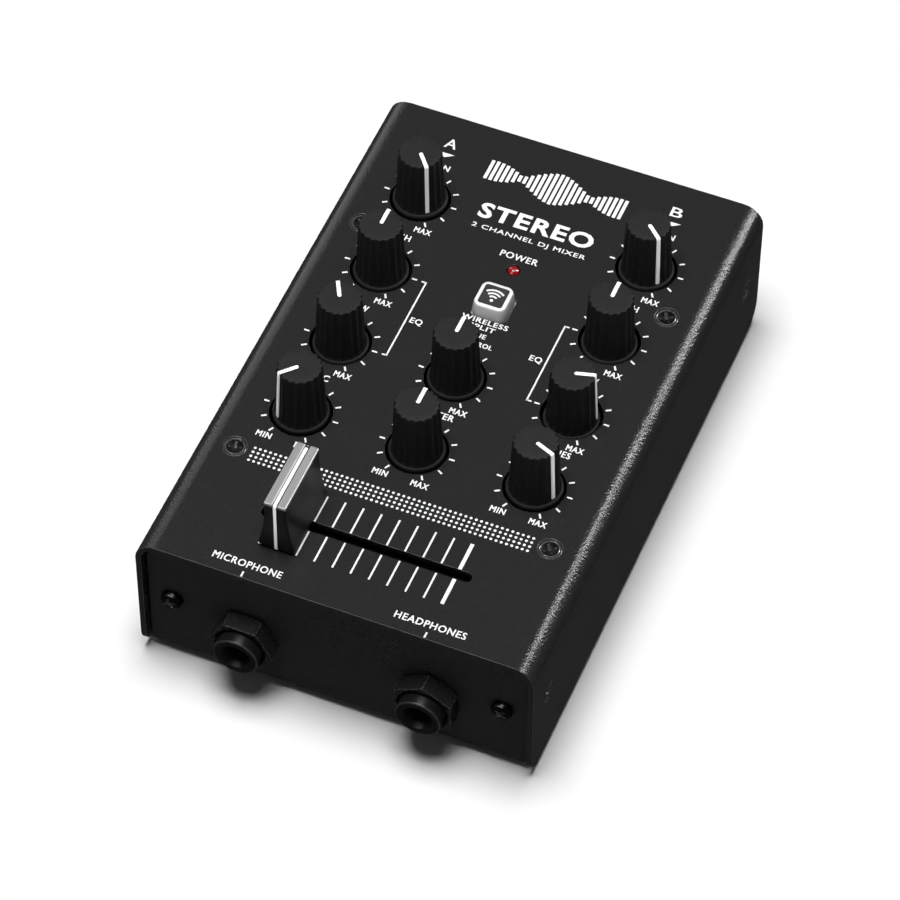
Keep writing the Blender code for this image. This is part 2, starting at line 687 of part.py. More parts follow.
def shaft():
    """A shaft with a flat and a rotor disc at its foot; its origin is at the pot's underside."""
    rotor = POT_WIDTH / 2 - POT_WALL - GAP
    rotor_low = GAP
    end = SHAFT_END - POT_BOTTOM
    profile = [
        (0, rotor_low),
        (rotor, rotor_low),
        (rotor, rotor_low + ROTOR_HEIGHT),
        (SHAFT_RADIUS, rotor_low + ROTOR_HEIGHT),
        (SHAFT_RADIUS, end),
        (0, end),
    ]
    shape = turned(bmesh.new(), profile, 12)
    flat = bmesh.new()
    box(
        flat,
        (SHAFT_RADIUS - SHAFT_FLAT, -2 * SHAFT_RADIUS, TOP - POT_BOTTOM),
        (2 * SHAFT_RADIUS, 2 * SHAFT_RADIUS, end + 0.001),
    )
    return cut(shape, flat)


# Crossfader ------------------------------------------------------------------


def crossfader_track():
    """The slide potentiometer's body, with the slot that its lever runs in."""
    shape = bmesh.new()
    half = TRACK_LENGTH / 2
    low = (-half, CROSSFADER_Y - TRACK_WIDTH / 2, MAIN_BOARD_TOP + GAP)
    box(shape, low, (half, CROSSFADER_Y + TRACK_WIDTH / 2, MAIN_BOARD_TOP + TRACK_HEIGHT))
    reach = (CROSSFADER_TRAVEL + LEVER_WIDTH) / 2 + 2 * GAP
    side = LEVER_THICKNESS / 2 + GAP
    top = MAIN_BOARD_TOP + TRACK_HEIGHT
    slot = bmesh.new()
    box(
        slot,
        (-reach, CROSSFADER_Y - side, top - TRACK_SLOT_DEPTH),
        (reach, CROSSFADER_Y + side, top + 0.001),
    )
    return cut(shape, slot)


def crossfader_lever():
    """The blade that joins the cap to the track; its origin is on the slot's line."""
    shape = bmesh.new()
    low = MAIN_BOARD_TOP + TRACK_HEIGHT - TRACK_SLOT_DEPTH + GAP
    return box(
        shape,
        (-LEVER_WIDTH / 2, -LEVER_THICKNESS / 2, low),
        (LEVER_WIDTH / 2, LEVER_THICKNESS / 2, TOP + LEVER_RISE),
    )


def crossfader_cap():
    """A cap that sweeps in from a broad foot to a narrow grip."""
    bottom = TOP + CAP_CLEARANCE
    top = TOP + CAP_RISE
    rings = []
    steps = 6
    levels = [(bottom, 0.0), (bottom + CAP_FOOT_HEIGHT, 0.0)]
    for step in range(1, steps + 1):
        share = step / steps
        levels.append((bottom + CAP_FOOT_HEIGHT + (top - bottom - CAP_FOOT_HEIGHT) * share, share))
    for level, share in levels:
        narrowing = 1 - (1 - share) ** 2.2
        width = CAP_BASE_WIDTH + (CAP_TOP_WIDTH - CAP_BASE_WIDTH) * narrowing
        outline = [(-width / 2, -CAP_LENGTH / 2), (width / 2, -CAP_LENGTH / 2)]
        outline += [(width / 2, CAP_LENGTH / 2), (-width / 2, CAP_LENGTH / 2)]
        rings.append([Vector((x, y, level)) for x, y in outline])
    shape = lofted(bmesh.new(), rings)
    socket = bmesh.new()
    box(
        socket,
        (-LEVER_WIDTH / 2 - GAP, -LEVER_THICKNESS / 2 - GAP, bottom - 0.001),
        (LEVER_WIDTH / 2 + GAP, LEVER_THICKNESS / 2 + GAP, TOP + LEVER_RISE + GAP),
    )
    return cut(shape, socket)


# Push button, its switch and the power light -------------------------------------


def button():
    """A tapering square cap over a flange that stops it under the cover."""
    flange_top = COVER_UNDERSIDE - GAP
    flange_low = flange_top - BUTTON_FLANGE_THICKNESS
    flange = rounded_rectangle(BUTTON_FLANGE, BUTTON_FLANGE, BUTTON_CORNER)
    base = rounded_rectangle(BUTTON_BASE, BUTTON_BASE, BUTTON_CORNER)
    top = rounded_rectangle(BUTTON_TOP, BUTTON_TOP, BUTTON_CORNER * 0.8)
    levels = [
        (flange, flange_low),
        (flange, flange_top),
        (base, flange_top),
        (base, TOP + BUTTON_TRAVEL),
        (top, TOP + BUTTON_RISE),
    ]
    return lofted(bmesh.new(), [[Vector((x, y, z)) for x, y in outline] for outline, z in levels])


def tact_switch():
    """A square switch whose stem waits just under the button."""
    shape = bmesh.new()
    half = SWITCH_BODY / 2
    low = MAIN_BOARD_TOP + GAP
    body_top = low + SWITCH_BODY_HEIGHT
    box(shape, (-half, BUTTON_Y - half, low), (half, BUTTON_Y + half, body_top))
    stem = bmesh.new()
    stem_top = COVER_UNDERSIDE - GAP - BUTTON_FLANGE_THICKNESS - BUTTON_TRAVEL - GAP
    stem_half = SWITCH_STEM / 2
    box(
        stem,
        (-stem_half, BUTTON_Y - stem_half, body_top - SWITCH_BODY_HEIGHT / 2),
        (stem_half, BUTTON_Y + stem_half, stem_top),
    )
    return joined(shape, stem)


def power_led():
    """A domed lamp on a flange, with its two legs down to the board."""
    top = TOP + LED_RISE
    bottom = top - LED_HEIGHT
    profile = [(0, bottom), (LED_FLANGE_RADIUS, bottom), (LED_FLANGE_RADIUS, bottom + 0.0008)]
    profile += [(LED_RADIUS, bottom + 0.0008)]
    profile += [(r, z) for r, z in arc((0, top - LED_RADIUS), LED_RADIUS, 0, 90, 5)[:-1]] + [(0, top)]
    shape = turned(bmesh.new(), profile, 16, moved(LED_X, LED_Y, 0))
    legs = bmesh.new()
    for side in (-1, 1):
        x = LED_X + side * LED_LEG_PITCH
        box(
            legs,
            (x - LED_LEG / 2, LED_Y - LED_LEG / 2, MAIN_BOARD_TOP + GAP),
            (x + LED_LEG / 2, LED_Y + LED_LEG / 2, bottom + 0.0004),
        )
    return joined(shape, legs)


# Front sockets -----------------------------------------------------------------


def headphone_socket():
    """Box-bodied socket with a bored, chamfered bushing; its origin is on its nose's face."""
    bushing_length = CONNECTOR_REACH + CHASSIS_SHEET + GAP
    half = JACK_BODY / 2
    shape = bmesh.new()
    box(shape, (-half, bushing_length, -half), (half, bushing_length + JACK_BODY_LENGTH, half))
    bushing = bmesh.new()
    profile = [
        (0, -bushing_length - 0.002),
        (JACK_BUSHING_RADIUS, -bushing_length - 0.002),
        (JACK_BUSHING_RADIUS, -JACK_NOSE_CHAMFER),
        (JACK_BUSHING_RADIUS - JACK_NOSE_CHAMFER, 0),
        (0, 0),
    ]
    turned(bushing, profile, 28, TOWARDS_FRONT)
    bore = bmesh.new()
    slope = (JACK_MOUTH_RADIUS - JACK_BORE_RADIUS) / JACK_MOUTH_DEPTH
    over = 0.0005
    bore_profile = [
        (0, -JACK_BORE_LENGTH),
        (JACK_BORE_RADIUS, -JACK_BORE_LENGTH),
        (JACK_BORE_RADIUS, -JACK_MOUTH_DEPTH),
        (JACK_MOUTH_RADIUS + over * slope, over),
        (0, over),
    ]
    turned(bore, bore_profile, 24, TOWARDS_FRONT)
    return cut(joined(shape, bushing), bore)


def jack_nut(flat_up):
    """Hexagon nut, its corners chamfered towards the panel; its origin is on its back face."""
    outline = [(v, u) for u, v in hexagon(JACK_NUT_ACROSS_FLATS, flat_up)]
    shape = prism(bmesh.new(), outline, -JACK_NUT_THICKNESS, 0, "Y")
    over = 0.0005
    slope = math.tan(math.radians(30))
    corner = JACK_NUT_ACROSS_FLATS / math.sqrt(3) + over
    profile = [
        (0, -over),
        (JACK_NUT_BACK_RADIUS - over / slope, -over),
        (corner, (corner - JACK_NUT_BACK_RADIUS) * slope),
        (corner, JACK_NUT_THICKNESS + over),
        (0, JACK_NUT_THICKNESS + over),
    ]
    cone = turned(bmesh.new(), profile, 36, TOWARDS_FRONT)
    shape = boolean(shape, cone, "INTERSECT")
    bore = bmesh.new()
    cylinder(bore, JACK_BUSHING_RADIUS + GAP, -over, JACK_NUT_THICKNESS + over, 28, TOWARDS_FRONT)
    return cut(shape, bore)


# Rear sockets and switch ----------------------------------------------------------


def phono_block():
    """Two phono sockets, one over the other, in one block; its origin is on the panel."""
    inner = -CHASSIS_SHEET - GAP
    half = PHONO_BLOCK_WIDTH / 2
    shape = bmesh.new()
    box(
        shape,
        (-half, inner - PHONO_BLOCK_LENGTH, PHONO_LOW_Z - PHONO_BLOCK_MARGIN),
        (half, inner, PHONO_LOW_Z + PHONO_PITCH + PHONO_BLOCK_MARGIN),
    )
    barrels = bmesh.new()
    holes = bmesh.new()
    for z in (PHONO_LOW_Z, PHONO_LOW_Z + PHONO_PITCH):
        out = moved(0, 0, z, TOWARDS_REAR)
        cylinder(barrels, PHONO_RADIUS, inner - 0.002, CONNECTOR_REACH, 20, out)
        deep = CONNECTOR_REACH - PHONO_HOLE_DEPTH
        cylinder(holes, PHONO_HOLE_RADIUS, deep, CONNECTOR_REACH + 0.001, 12, out)
    return cut(joined(shape, barrels), holes)


def dc_jack():
    """Low-voltage power socket with a centre pin; its origin is on the panel."""
    inner = -CHASSIS_SHEET - GAP
    half = DC_JACK_WIDTH / 2
    shape = bmesh.new()
    box(shape, (-half, inner - DC_JACK_LENGTH, -half), (half, inner, half))
    barrel = bmesh.new()
    cylinder(barrel, DC_JACK_RADIUS, inner - 0.002, DC_JACK_REACH, 24, TOWARDS_REAR)
    depth = DC_JACK_REACH - DC_JACK_BORE_LENGTH
    ring = bmesh.new()
    cylinder(ring, DC_JACK_BORE_RADIUS, depth, DC_JACK_REACH + 0.001, 24, TOWARDS_REAR)
    pin = bmesh.new()
    cylinder(pin, DC_JACK_PIN_RADIUS, depth - 0.001, DC_JACK_REACH - 0.0010, 12, TOWARDS_REAR)
    return joined(cut(joined(shape, barrel), ring), pin)


def power_switch():
    """Slide switch's body, open towards the panel for its lever."""
    inner = -CHASSIS_SHEET - GAP
    shape = bmesh.new()
    half = POWER_SWITCH_WIDTH / 2
    tall = POWER_SWITCH_HEIGHT / 2
    box(shape, (-half, inner - POWER_SWITCH_LENGTH, -tall), (half, inner, tall))
    slot = bmesh.new()
    reach = (POWER_LEVER_WIDTH + POWER_LEVER_TRAVEL) / 2 + GAP
    height = POWER_LEVER_HEIGHT / 2 + GAP
    box(slot, (-reach, inner - POWER_LEVER_DEPTH - GAP, -height), (reach, inner + 0.001, height))
    return cut(shape, slot)


def power_switch_lever():
    """The switch's lever; its origin is in the panel's plane at the middle of the lever."""
    half = POWER_LEVER_WIDTH / 2
    tall = POWER_LEVER_HEIGHT / 2
    inner = -CHASSIS_SHEET - GAP
    return box(bmesh.new(), (-half, inner - POWER_LEVER_DEPTH, -tall), (half, POWER_LEVER_REACH, tall))


# Screws ------------------------------------------------------------------------


def cross_recess(shape, face):
    """Cutter for a cross recess, from above the face down into the head."""
    arm = RECESS_SPAN / 2
    half = RECESS_WIDTH / 2
    outline = [(arm, -half), (arm, half), (half, half), (half, arm), (-half, arm), (-half, half)]
    outline += [(-arm, half), (-arm, -half), (-half, -half), (-half, -arm), (half, -arm), (half, -half)]
    return prism(shape, outline, face - RECESS_DEPTH, face + 0.001)


def countersunk_screw():
    """Its origin is at the cover's face, +Z out of the head."""
    face = -GAP / 3
    profile = [
        (0, -SCREW_LENGTH),
        (SCREW_RADIUS, -SCREW_LENGTH),
        (SCREW_RADIUS, face - SCREW_HEAD_RADIUS + SCREW_RADIUS),
        (SCREW_HEAD_RADIUS, face),
        (0, face),
    ]
    return cut(turned(bmesh.new(), profile, 20), cross_recess(bmesh.new(), face))


def pan_screw():
    """Its origin is at the panel's face, +Z out of the head."""
    top = GAP + PAN_HEAD_HEIGHT
    profile = [
        (0, -SCREW_LENGTH),
        (SCREW_RADIUS, -SCREW_LENGTH),
        (SCREW_RADIUS, GAP),
        (PAN_HEAD_RADIUS, GAP),
        (PAN_HEAD_RADIUS, GAP + PAN_HEAD_HEIGHT * 0.6),
        (PAN_HEAD_RADIUS * 0.8, top),
        (0, top),
    ]
    shape = cut(turned(bmesh.new(), profile, 20), cross_recess(bmesh.new(), top))
    bmesh.ops.transform(shape, matrix=TOWARDS_FRONT, verts=shape.verts)
    return shape


# Assembly ------------------------------------------------------------------------


def build_case():
    place("top_cover", mesh_of(top_cover(), "top_cover"), "powder_coat")
    place("chassis", mesh_of(chassis(), "chassis"), "powder_coat")
    place("main_board", mesh_of(main_board(), "main_board"), "board")
    place("socket_board", mesh_of(socket_board(), "socket_board"), "board")
    foot_mesh = mesh_of(foot(), "foot")
    for side_y, end in ((-1, "front"), (1, "rear")):
        for side_x, hand in ((-1, "left"), (1, "right")):
            place(f"foot_{end}_{hand}", foot_mesh, "rubber", (side_x * FOOT_X, side_y * FOOT_Y, 0))


def build_dials():
    knob_mesh = mesh_of(knob(), "knob")
    shaft_mesh = mesh_of(shaft(), "shaft")
    pot_mesh = mesh_of(potentiometer(), "potentiometer")
    below = POT_BOTTOM - TOP
    for name, (x, y, pointer, seat) in DIALS.items():
        axis = axis_empty(f"{name}_axis", (x, y, TOP))
        place(f"{name}_knob", knob_mesh, "knob_plastic", (0, 0, -KNOB_SINK - seat), pointer, axis)
        place(f"{name}_shaft", shaft_mesh, "bright_steel", (0, 0, below), pointer, axis)
        place(f"{name}_potentiometer", pot_mesh, "bright_steel", (x, y, POT_BOTTOM))


def build_crossfader():
    place("crossfader_track", mesh_of(crossfader_track(), "crossfader_track"), "bright_steel")
    axis = axis_empty("crossfader_axis", (CROSSFADER_REST, CROSSFADER_Y, 0))
    place("crossfader_lever", mesh_of(crossfader_lever(), "crossfader_lever"), "bright_steel", parent=axis)
    place("crossfader_cap", mesh_of(crossfader_cap(), "crossfader_cap"), "cap_plastic", parent=axis)


def build_button_and_led():
    place("tact_switch", mesh_of(tact_switch(), "tact_switch"), "black_plastic")
    place("wireless_button", mesh_of(button(), "wireless_button"), "white_plastic", (0, BUTTON_Y, 0))
    place("power_led", mesh_of(power_led(), "power_led"), "red_lens")


def build_front():
    jack_mesh = mesh_of(headphone_socket(), "jack")
    for use, x in JACKS.items():
        place(f"{use}_jack", jack_mesh, "black_plastic", (x, -NOSE_Y, JACK_Z))
        nut_mesh = mesh_of(jack_nut(use == "microphone"), f"{use}_nut")
        place(f"{use}_jack_nut", nut_mesh, "black_steel", (x, -PANEL_Y - GAP, JACK_Z))
    screw_mesh = mesh_of(pan_screw(), "pan_screw")
    for side, hand in ((-1, "left"), (1, "right")):
        spot = (side * PANEL_SCREW_X, -PANEL_Y, PANEL_SCREW_Z)
        place(f"panel_screw_{hand}", screw_mesh, "black_steel", spot)


def build_rear():
    block_mesh = mesh_of(phono_block(), "phono_block")
    for use, x in PHONO_COLUMNS.items():
        place(f"phono_sockets_{use}", block_mesh, "nickel", (x, PANEL_Y, 0))
    dc_mesh = mesh_of(dc_jack(), "dc_jack")
    place("dc_jack", dc_mesh, "black_plastic", (DC_JACK_X, PANEL_Y, DC_JACK_Z))
    switch_mesh = mesh_of(power_switch(), "power_switch")
    place("power_switch", switch_mesh, "bright_steel", (POWER_SWITCH_X, PANEL_Y, POWER_SWITCH_Z))
    lever_x = POWER_SWITCH_X - POWER_LEVER_TRAVEL / 2
    lever_mesh = mesh_of(power_switch_lever(), "power_switch_lever")
    place("power_switch_lever", lever_mesh, "black_plastic", (lever_x, PANEL_Y, POWER_SWITCH_Z))


def build_cover_screws():
    screw_mesh = mesh_of(countersunk_screw(), "countersunk_screw")
    for spot, (x, y) in COVER_SCREWS.items():
        place(f"cover_screw_{spot}", screw_mesh, "black_steel", (x, y, TOP))


for leftover in list(bpy.data.objects):
    bpy.data.objects.remove(leftover)
build_case()
build_dials()
build_crossfader()
build_button_and_led()
build_front()
build_rear()
build_cover_screws()
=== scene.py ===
import json
import math

import bmesh
import bpy
from mathutils import Matrix, Vector


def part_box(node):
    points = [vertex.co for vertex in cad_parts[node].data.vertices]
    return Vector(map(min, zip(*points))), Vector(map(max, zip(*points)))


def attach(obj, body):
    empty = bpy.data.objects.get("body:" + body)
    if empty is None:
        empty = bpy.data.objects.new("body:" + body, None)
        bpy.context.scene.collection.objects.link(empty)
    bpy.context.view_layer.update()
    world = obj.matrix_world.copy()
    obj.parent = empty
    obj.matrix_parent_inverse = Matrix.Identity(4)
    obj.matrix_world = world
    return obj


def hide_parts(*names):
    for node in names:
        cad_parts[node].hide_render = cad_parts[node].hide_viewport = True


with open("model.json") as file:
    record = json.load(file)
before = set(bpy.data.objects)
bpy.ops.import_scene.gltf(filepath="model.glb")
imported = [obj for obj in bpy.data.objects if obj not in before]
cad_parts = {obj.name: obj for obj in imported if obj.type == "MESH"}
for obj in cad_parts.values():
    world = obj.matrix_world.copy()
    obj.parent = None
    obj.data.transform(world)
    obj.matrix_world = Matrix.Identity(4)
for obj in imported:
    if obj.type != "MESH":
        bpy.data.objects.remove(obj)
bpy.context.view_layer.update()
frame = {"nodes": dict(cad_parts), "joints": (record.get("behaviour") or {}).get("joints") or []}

SCENE = bpy.context.scene

# Camera and light
CAMERA_PLACE = (0.29154, -0.72546, 0.97819)
CAMERA_TURN = (38.98461, -0.23987, 22.34770)
CAMERA_LENS = 185.054
WORLD_WHITE = 0.05
FLOOR_HALF = 3.0
FLOOR_GAP = 0.00005

# Heights and places on the case
COVER_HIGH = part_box("top_cover")[1]
CHASSIS_LOW, CHASSIS_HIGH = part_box("chassis")
TOP = COVER_HIGH.z
FRONT_PANEL = CHASSIS_LOW.y
REAR_PANEL = CHASSIS_HIGH.y
SIDE = COVER_HIGH.x
OVER = 0.001  # how far a cutter passes the surface that it cuts

DIALS = (
    "gain_a", "high_a", "low_a", "microphone", "cue", "master", "gain_b", "high_b", "low_b", "phones",
)
JOINTS = {joint["name"]: joint for joint in frame["joints"]}
SCALE_MAX, SCALE_MIN = -60.0, 240.0  # ends of a dial's scale, in degrees anticlockwise from +X


# Materials -----------------------------------------------------------------

COAT_ROUGHNESS = 0.08
DEFAULT_MOTTLE = (60.0, 0.06)


def node(tree, kind, **settings):
    made = tree.nodes.new(kind)
    for name, value in settings.items():
        if name in made.inputs:
            made.inputs[name].default_value = value
        else:
            setattr(made, name, value)
    return made


def varied(tree, noise, value, spread):
    """A value that follows the noise up and down by spread."""
    ramp = node(tree, "ShaderNodeMapRange")
    ends = (("From Min", 0.3), ("From Max", 0.7), ("To Min", value - spread), ("To Max", value + spread))
    for end, level in ends:
        ramp.inputs[end].default_value = level
    tree.links.new(noise.outputs["Fac"], ramp.inputs["Value"])
    return ramp.outputs["Result"]


def surface(name, colour, roughness, metallic=0.0, specular=0.5, grain=None, grain_detail=2.0,
            mottle=None, rough_spread=0.0, stretch=(1, 1, 1), coat=0.0, painted_glow=0.0):
    """A material with its own grain, colour variation and roughness variation.

    grain is (features per metre, strength, depth) and mottle (features per metre, share).
    """
    made = bpy.data.materials.new(name)
    made.use_nodes = True
    tree = made.node_tree
    shader = tree.nodes["Principled BSDF"]
    shader.inputs["Base Color"].default_value = (*colour, 1.0)
    shader.inputs["Metallic"].default_value = metallic
    shader.inputs["Roughness"].default_value = roughness
    shader.inputs["Specular IOR Level"].default_value = specular
    shader.inputs["Coat Weight"].default_value = coat
    shader.inputs["Coat Roughness"].default_value = COAT_ROUGHNESS
    # Emission here is painted light: a glow on a surface that is no lamp.
    if painted_glow:
        shader.inputs["Emission Color"].default_value = (*colour, 1.0)
        shader.inputs["Emission Strength"].default_value = painted_glow
    place = node(tree, "ShaderNodeTexCoord")
    mapping = node(tree, "ShaderNodeMapping", Scale=stretch)
    tree.links.new(place.outputs["Object"], mapping.inputs["Vector"])
    if grain:
        scale, strength, depth = grain
        bumps = node(tree, "ShaderNodeTexNoise", Scale=scale, Detail=grain_detail, Roughness=0.6)
        tree.links.new(mapping.outputs["Vector"], bumps.inputs["Vector"])
        bump = node(tree, "ShaderNodeBump", Strength=strength, Distance=depth)
        tree.links.new(bumps.outputs["Fac"], bump.inputs["Height"])
        tree.links.new(bump.outputs["Normal"], shader.inputs["Normal"])
    patch_scale, spread = mottle or DEFAULT_MOTTLE
    patches = node(tree, "ShaderNodeTexNoise", Scale=patch_scale, Detail=4.0, Roughness=0.65)
    tree.links.new(mapping.outputs["Vector"], patches.inputs["Vector"])
    tint = node(tree, "ShaderNodeVectorMath", operation="SCALE")
    tint.inputs[0].default_value = colour
    tree.links.new(varied(tree, patches, 1.0, spread), tint.inputs["Scale"])
    tree.links.new(tint.outputs["Vector"], shader.inputs["Base Color"])
    if rough_spread:
        tree.links.new(varied(tree, patches, roughness, rough_spread), shader.inputs["Roughness"])
    return made


POWDER = surface("powder_coat_look", (0.0186, 0.0186, 0.0188), 0.20, specular=0.10,
                 grain=(1900.0, 1.00, 0.00006), grain_detail=0.0, mottle=(1800.0, 0.08),
                 rough_spread=0.08)
# Lighter, speckled colour for the cover's bevelled edges: a painted highlight line.
POWDER_EDGE_HIGHLIGHT = surface("powder_edge_painted_highlight_look", (0.075, 0.075, 0.076), 0.35, specular=0.4,
                      mottle=(1500.0, 0.75), rough_spread=0.10)
KNOB = surface("knob_look", (0.0152, 0.0152, 0.0155), 0.52, specular=0.07,
               grain=(3500.0, 0.12, 0.00004), mottle=(250.0, 0.08), rough_spread=0.04)
PRINT = surface("white_print_look", (0.80, 0.80, 0.79), 0.55, specular=0.25,
                grain=(4000.0, 0.10, 0.00002), mottle=(900.0, 0.03))
# The glow is painted light that keeps the white lines bright on their shaded sides.
POINTER = surface("white_line_look", (0.84, 0.84, 0.83), 0.40, specular=0.4,
                  grain=(3000.0, 0.08, 0.00002), mottle=(400.0, 0.02), painted_glow=0.25)
CAP_BLACK = surface("cap_black_look", (0.010, 0.010, 0.0105), 0.36, specular=0.2,
                    grain=(2500.0, 0.08, 0.00003), mottle=(200.0, 0.08), rough_spread=0.03)
CAP_SILVER = surface("cap_silver_look", (0.24, 0.24, 0.245), 0.40, metallic=0.40,
                     grain=(2200.0, 0.18, 0.00004), mottle=(600.0, 0.05), rough_spread=0.05,
                     stretch=(1.0, 0.06, 1.0))
BUTTON_WHITE = surface("button_white_look", (0.72, 0.72, 0.72), 0.32, specular=0.45,
                       grain=(1500.0, 0.05, 0.00003), mottle=(150.0, 0.02))
BUTTON_BLACK = surface("button_inset_look", (0.016, 0.016, 0.017), 0.40, specular=0.4,
                       grain=(2500.0, 0.10, 0.00003), mottle=(300.0, 0.06))
JACK_BLACK = surface("socket_black_look", (0.007, 0.007, 0.0073), 0.32, specular=0.11,
                     grain=(1800.0, 0.05, 0.00003), mottle=(200.0, 0.08), rough_spread=0.03)
NUT_BLACK = surface("nut_black_look", (0.011, 0.011, 0.0115), 0.28, specular=0.40,
                    grain=(1200.0, 0.04, 0.00003), mottle=(300.0, 0.10), rough_spread=0.04)
SCREW_BLACK = surface("screw_black_look", (0.035, 0.035, 0.0355), 0.24, metallic=1.0,
                      grain=(1800.0, 0.10, 0.00003), mottle=(500.0, 0.15), rough_spread=0.08)
# Lighter colour painted on the sockets' mouth rims as a highlight.
JACK_RIM_HIGHLIGHT = surface("socket_rim_painted_highlight_look", (0.026, 0.026, 0.0265), 0.34, specular=0.3,
                    mottle=(900.0, 0.25), rough_spread=0.05)
# Lighter colour painted on the nuts' bevelled edges as a highlight.
NUT_EDGE_HIGHLIGHT = surface("nut_edge_painted_highlight_look", (0.115, 0.115, 0.117), 0.26, specular=0.6,
                   mottle=(900.0, 0.35), rough_spread=0.05)
# Lighter colour painted on the screws' turned rings and recess walls as glints.
SCREW_GLINT = surface("screw_painted_glint_look", (0.125, 0.125, 0.127), 0.30, metallic=0.4, specular=0.6,
                     mottle=(1500.0, 0.50), rough_spread=0.10)
DARK_STEEL = surface("track_steel_look", (0.035, 0.035, 0.036), 0.50, metallic=0.5,
                     grain=(1500.0, 0.15, 0.00004), mottle=(300.0, 0.10))
STEEL = surface("plated_steel_look", (0.45, 0.45, 0.44), 0.34, metallic=1.0,
                grain=(1200.0, 0.12, 0.00004), mottle=(250.0, 0.08), rough_spread=0.06)
NICKEL = surface("nickel_look", (0.66, 0.63, 0.58), 0.20, metallic=1.0,
                 grain=(900.0, 0.05, 0.00003), mottle=(200.0, 0.05), rough_spread=0.04)
BOARD = surface("board_look", (0.008, 0.011, 0.009), 0.40, specular=0.4,
                grain=(900.0, 0.15, 0.00005), mottle=(400.0, 0.20))
RUBBER = surface("rubber_look", (0.014, 0.014, 0.014), 0.80, specular=0.3,
                 grain=(1400.0, 0.35, 0.00010), mottle=(300.0, 0.12))
# The lens's glow is painted light; the power light is not lit.
RED_LENS = surface("red_lens_look", (0.22, 0.004, 0.006), 0.22, specular=0.4,
                   grain=(900.0, 0.15, 0.00010), mottle=(900.0, 0.35), coat=0.1, painted_glow=0.10)
RING_WHITE = surface("white_ring_look", (0.70, 0.70, 0.68), 0.40, mottle=(300.0, 0.03))
RING_RED = surface("red_ring_look", (0.45, 0.015, 0.015), 0.40, mottle=(300.0, 0.05))


# Meshes --------------------------------------------------------------------


def piece(name, shape, look, body, replaces=(), location=(0, 0, 0), turn=None,
          smooth=35.0, bevel=0.0, bevel_steps=2, edge=None, painted_highlight_faces=None):
    """Finish a bmesh as a named piece that rides on a body.

    edge is the look of its rounded edges, or of the faces that the face test picks; it is a lighter
    colour painted there as a highlight.
    """
    bmesh.ops.recalc_face_normals(shape, faces=shape.faces)
    # Faces the test picks take the second look, a painted highlight.
    if painted_highlight_faces:
        for face in shape.faces:
            face.material_index = 1 if painted_highlight_faces(face) else 0
    mesh = bpy.data.meshes.new(name)
    shape.to_mesh(mesh)
    shape.free()
    mesh.shade_smooth()
    mesh.set_sharp_from_angle(angle=math.radians(smooth))
    mesh.materials.append(look)
    if edge:
        mesh.materials.append(edge)
    made = bpy.data.objects.new(name, mesh)
    SCENE.collection.objects.link(made)
    made.matrix_world = Matrix.Translation(location) @ (turn or Matrix())
    if bevel:
        modifier = made.modifiers.new("Edges", "BEVEL")
        modifier.width = bevel
        modifier.segments = bevel_steps
        modifier.limit_method = "ANGLE"
        modifier.angle_limit = math.radians(30)
        modifier.harden_normals = True
        if edge:
            modifier.material = 1
    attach(made, body)
    if replaces:
        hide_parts(*replaces)
    return made


def loft(shape, rings, close=True):
    """Skin over closed rings of equal counts; a ring of one point is a tip."""
    rows = [[shape.verts.new(point) for point in ring] for ring in rings]
    for lower, upper in zip(rows, rows[1:]):
        count = max(len(lower), len(upper))
        for here in range(count):
            there = (here + 1) % count
            corners = []
            for row, step in ((lower, here), (lower, there), (upper, there), (upper, here)):
                corner = row[step % len(row)]
                if corner not in corners:
                    corners.append(corner)
            if len(corners) > 2:
                shape.faces.new(corners)
    if close:
        for row, flip in ((rows[0], True), (rows[-1], False)):
            if len(row) > 2:
                shape.faces.new(row[::-1] if flip else row)
    return shape


def circle(radius, height, count=96):
    if radius == 0:
        return [Vector((0, 0, height))]
    return [
        Vector((radius * math.cos(2 * math.pi * step / count),
                radius * math.sin(2 * math.pi * step / count), height))
        for step in range(count)
    ]


def turned(shape, profile, count=96):
    return loft(shape, [circle(radius, height, count) for radius, height in profile])


def square(side, corner, height, steps=8, depth=None):
    depth = depth or side
    ring = []
    for turn, (sx, sy) in enumerate(((1, 1), (-1, 1), (-1, -1), (1, -1))):
        for step in range(steps + 1):
            angle = math.radians(90 * turn + 90 * step / steps)
            ring.append(Vector((sx * (side / 2 - corner) + corner * math.cos(angle),
                                sy * (depth / 2 - corner) + corner * math.sin(angle), height)))
    return ring


def slab(shape, outline, low, high):
    return loft(shape, [[Vector((x, y, z)) for x, y in outline] for z in (low, high)])


def block(shape, low, high):
    outline = [(low[0], low[1]), (high[0], low[1]), (high[0], high[1]), (low[0], high[1])]
    return slab(shape, outline, low[2], high[2])


def cut(shape, tool, operation="DIFFERENCE"):
    """A Boolean of two closed shapes, which are used up."""
    operands = []
    for part in (shape, tool):
        bmesh.ops.recalc_face_normals(part, faces=part.faces)
        mesh = bpy.data.meshes.new("operand")
        part.to_mesh(mesh)
        part.free()
        operand = bpy.data.objects.new("operand", mesh)
        SCENE.collection.objects.link(operand)
        operands.append(operand)
    modifier = operands[0].modifiers.new("Boolean", "BOOLEAN")
    modifier.operation = operation
    modifier.solver = "EXACT"
    modifier.object = operands[1]
    result = bmesh.new()
    result.from_object(operands[0], bpy.context.evaluated_depsgraph_get())
    for operand in operands:
        mesh = operand.data
        bpy.data.objects.remove(operand)
        bpy.data.meshes.remove(mesh)
    return result


FORWARDS = Matrix.Rotation(math.radians(90), 4, "X")  # +Z to -Y
BACKWARDS = Matrix.Rotation(math.radians(-90), 4, "X") @ Matrix.Rotation(math.pi, 4, "Z")


def middle(name):
    low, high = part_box(name)
    return (low + high) / 2


def spun(degrees):
    return Matrix.Rotation(math.radians(degrees), 4, "Z")


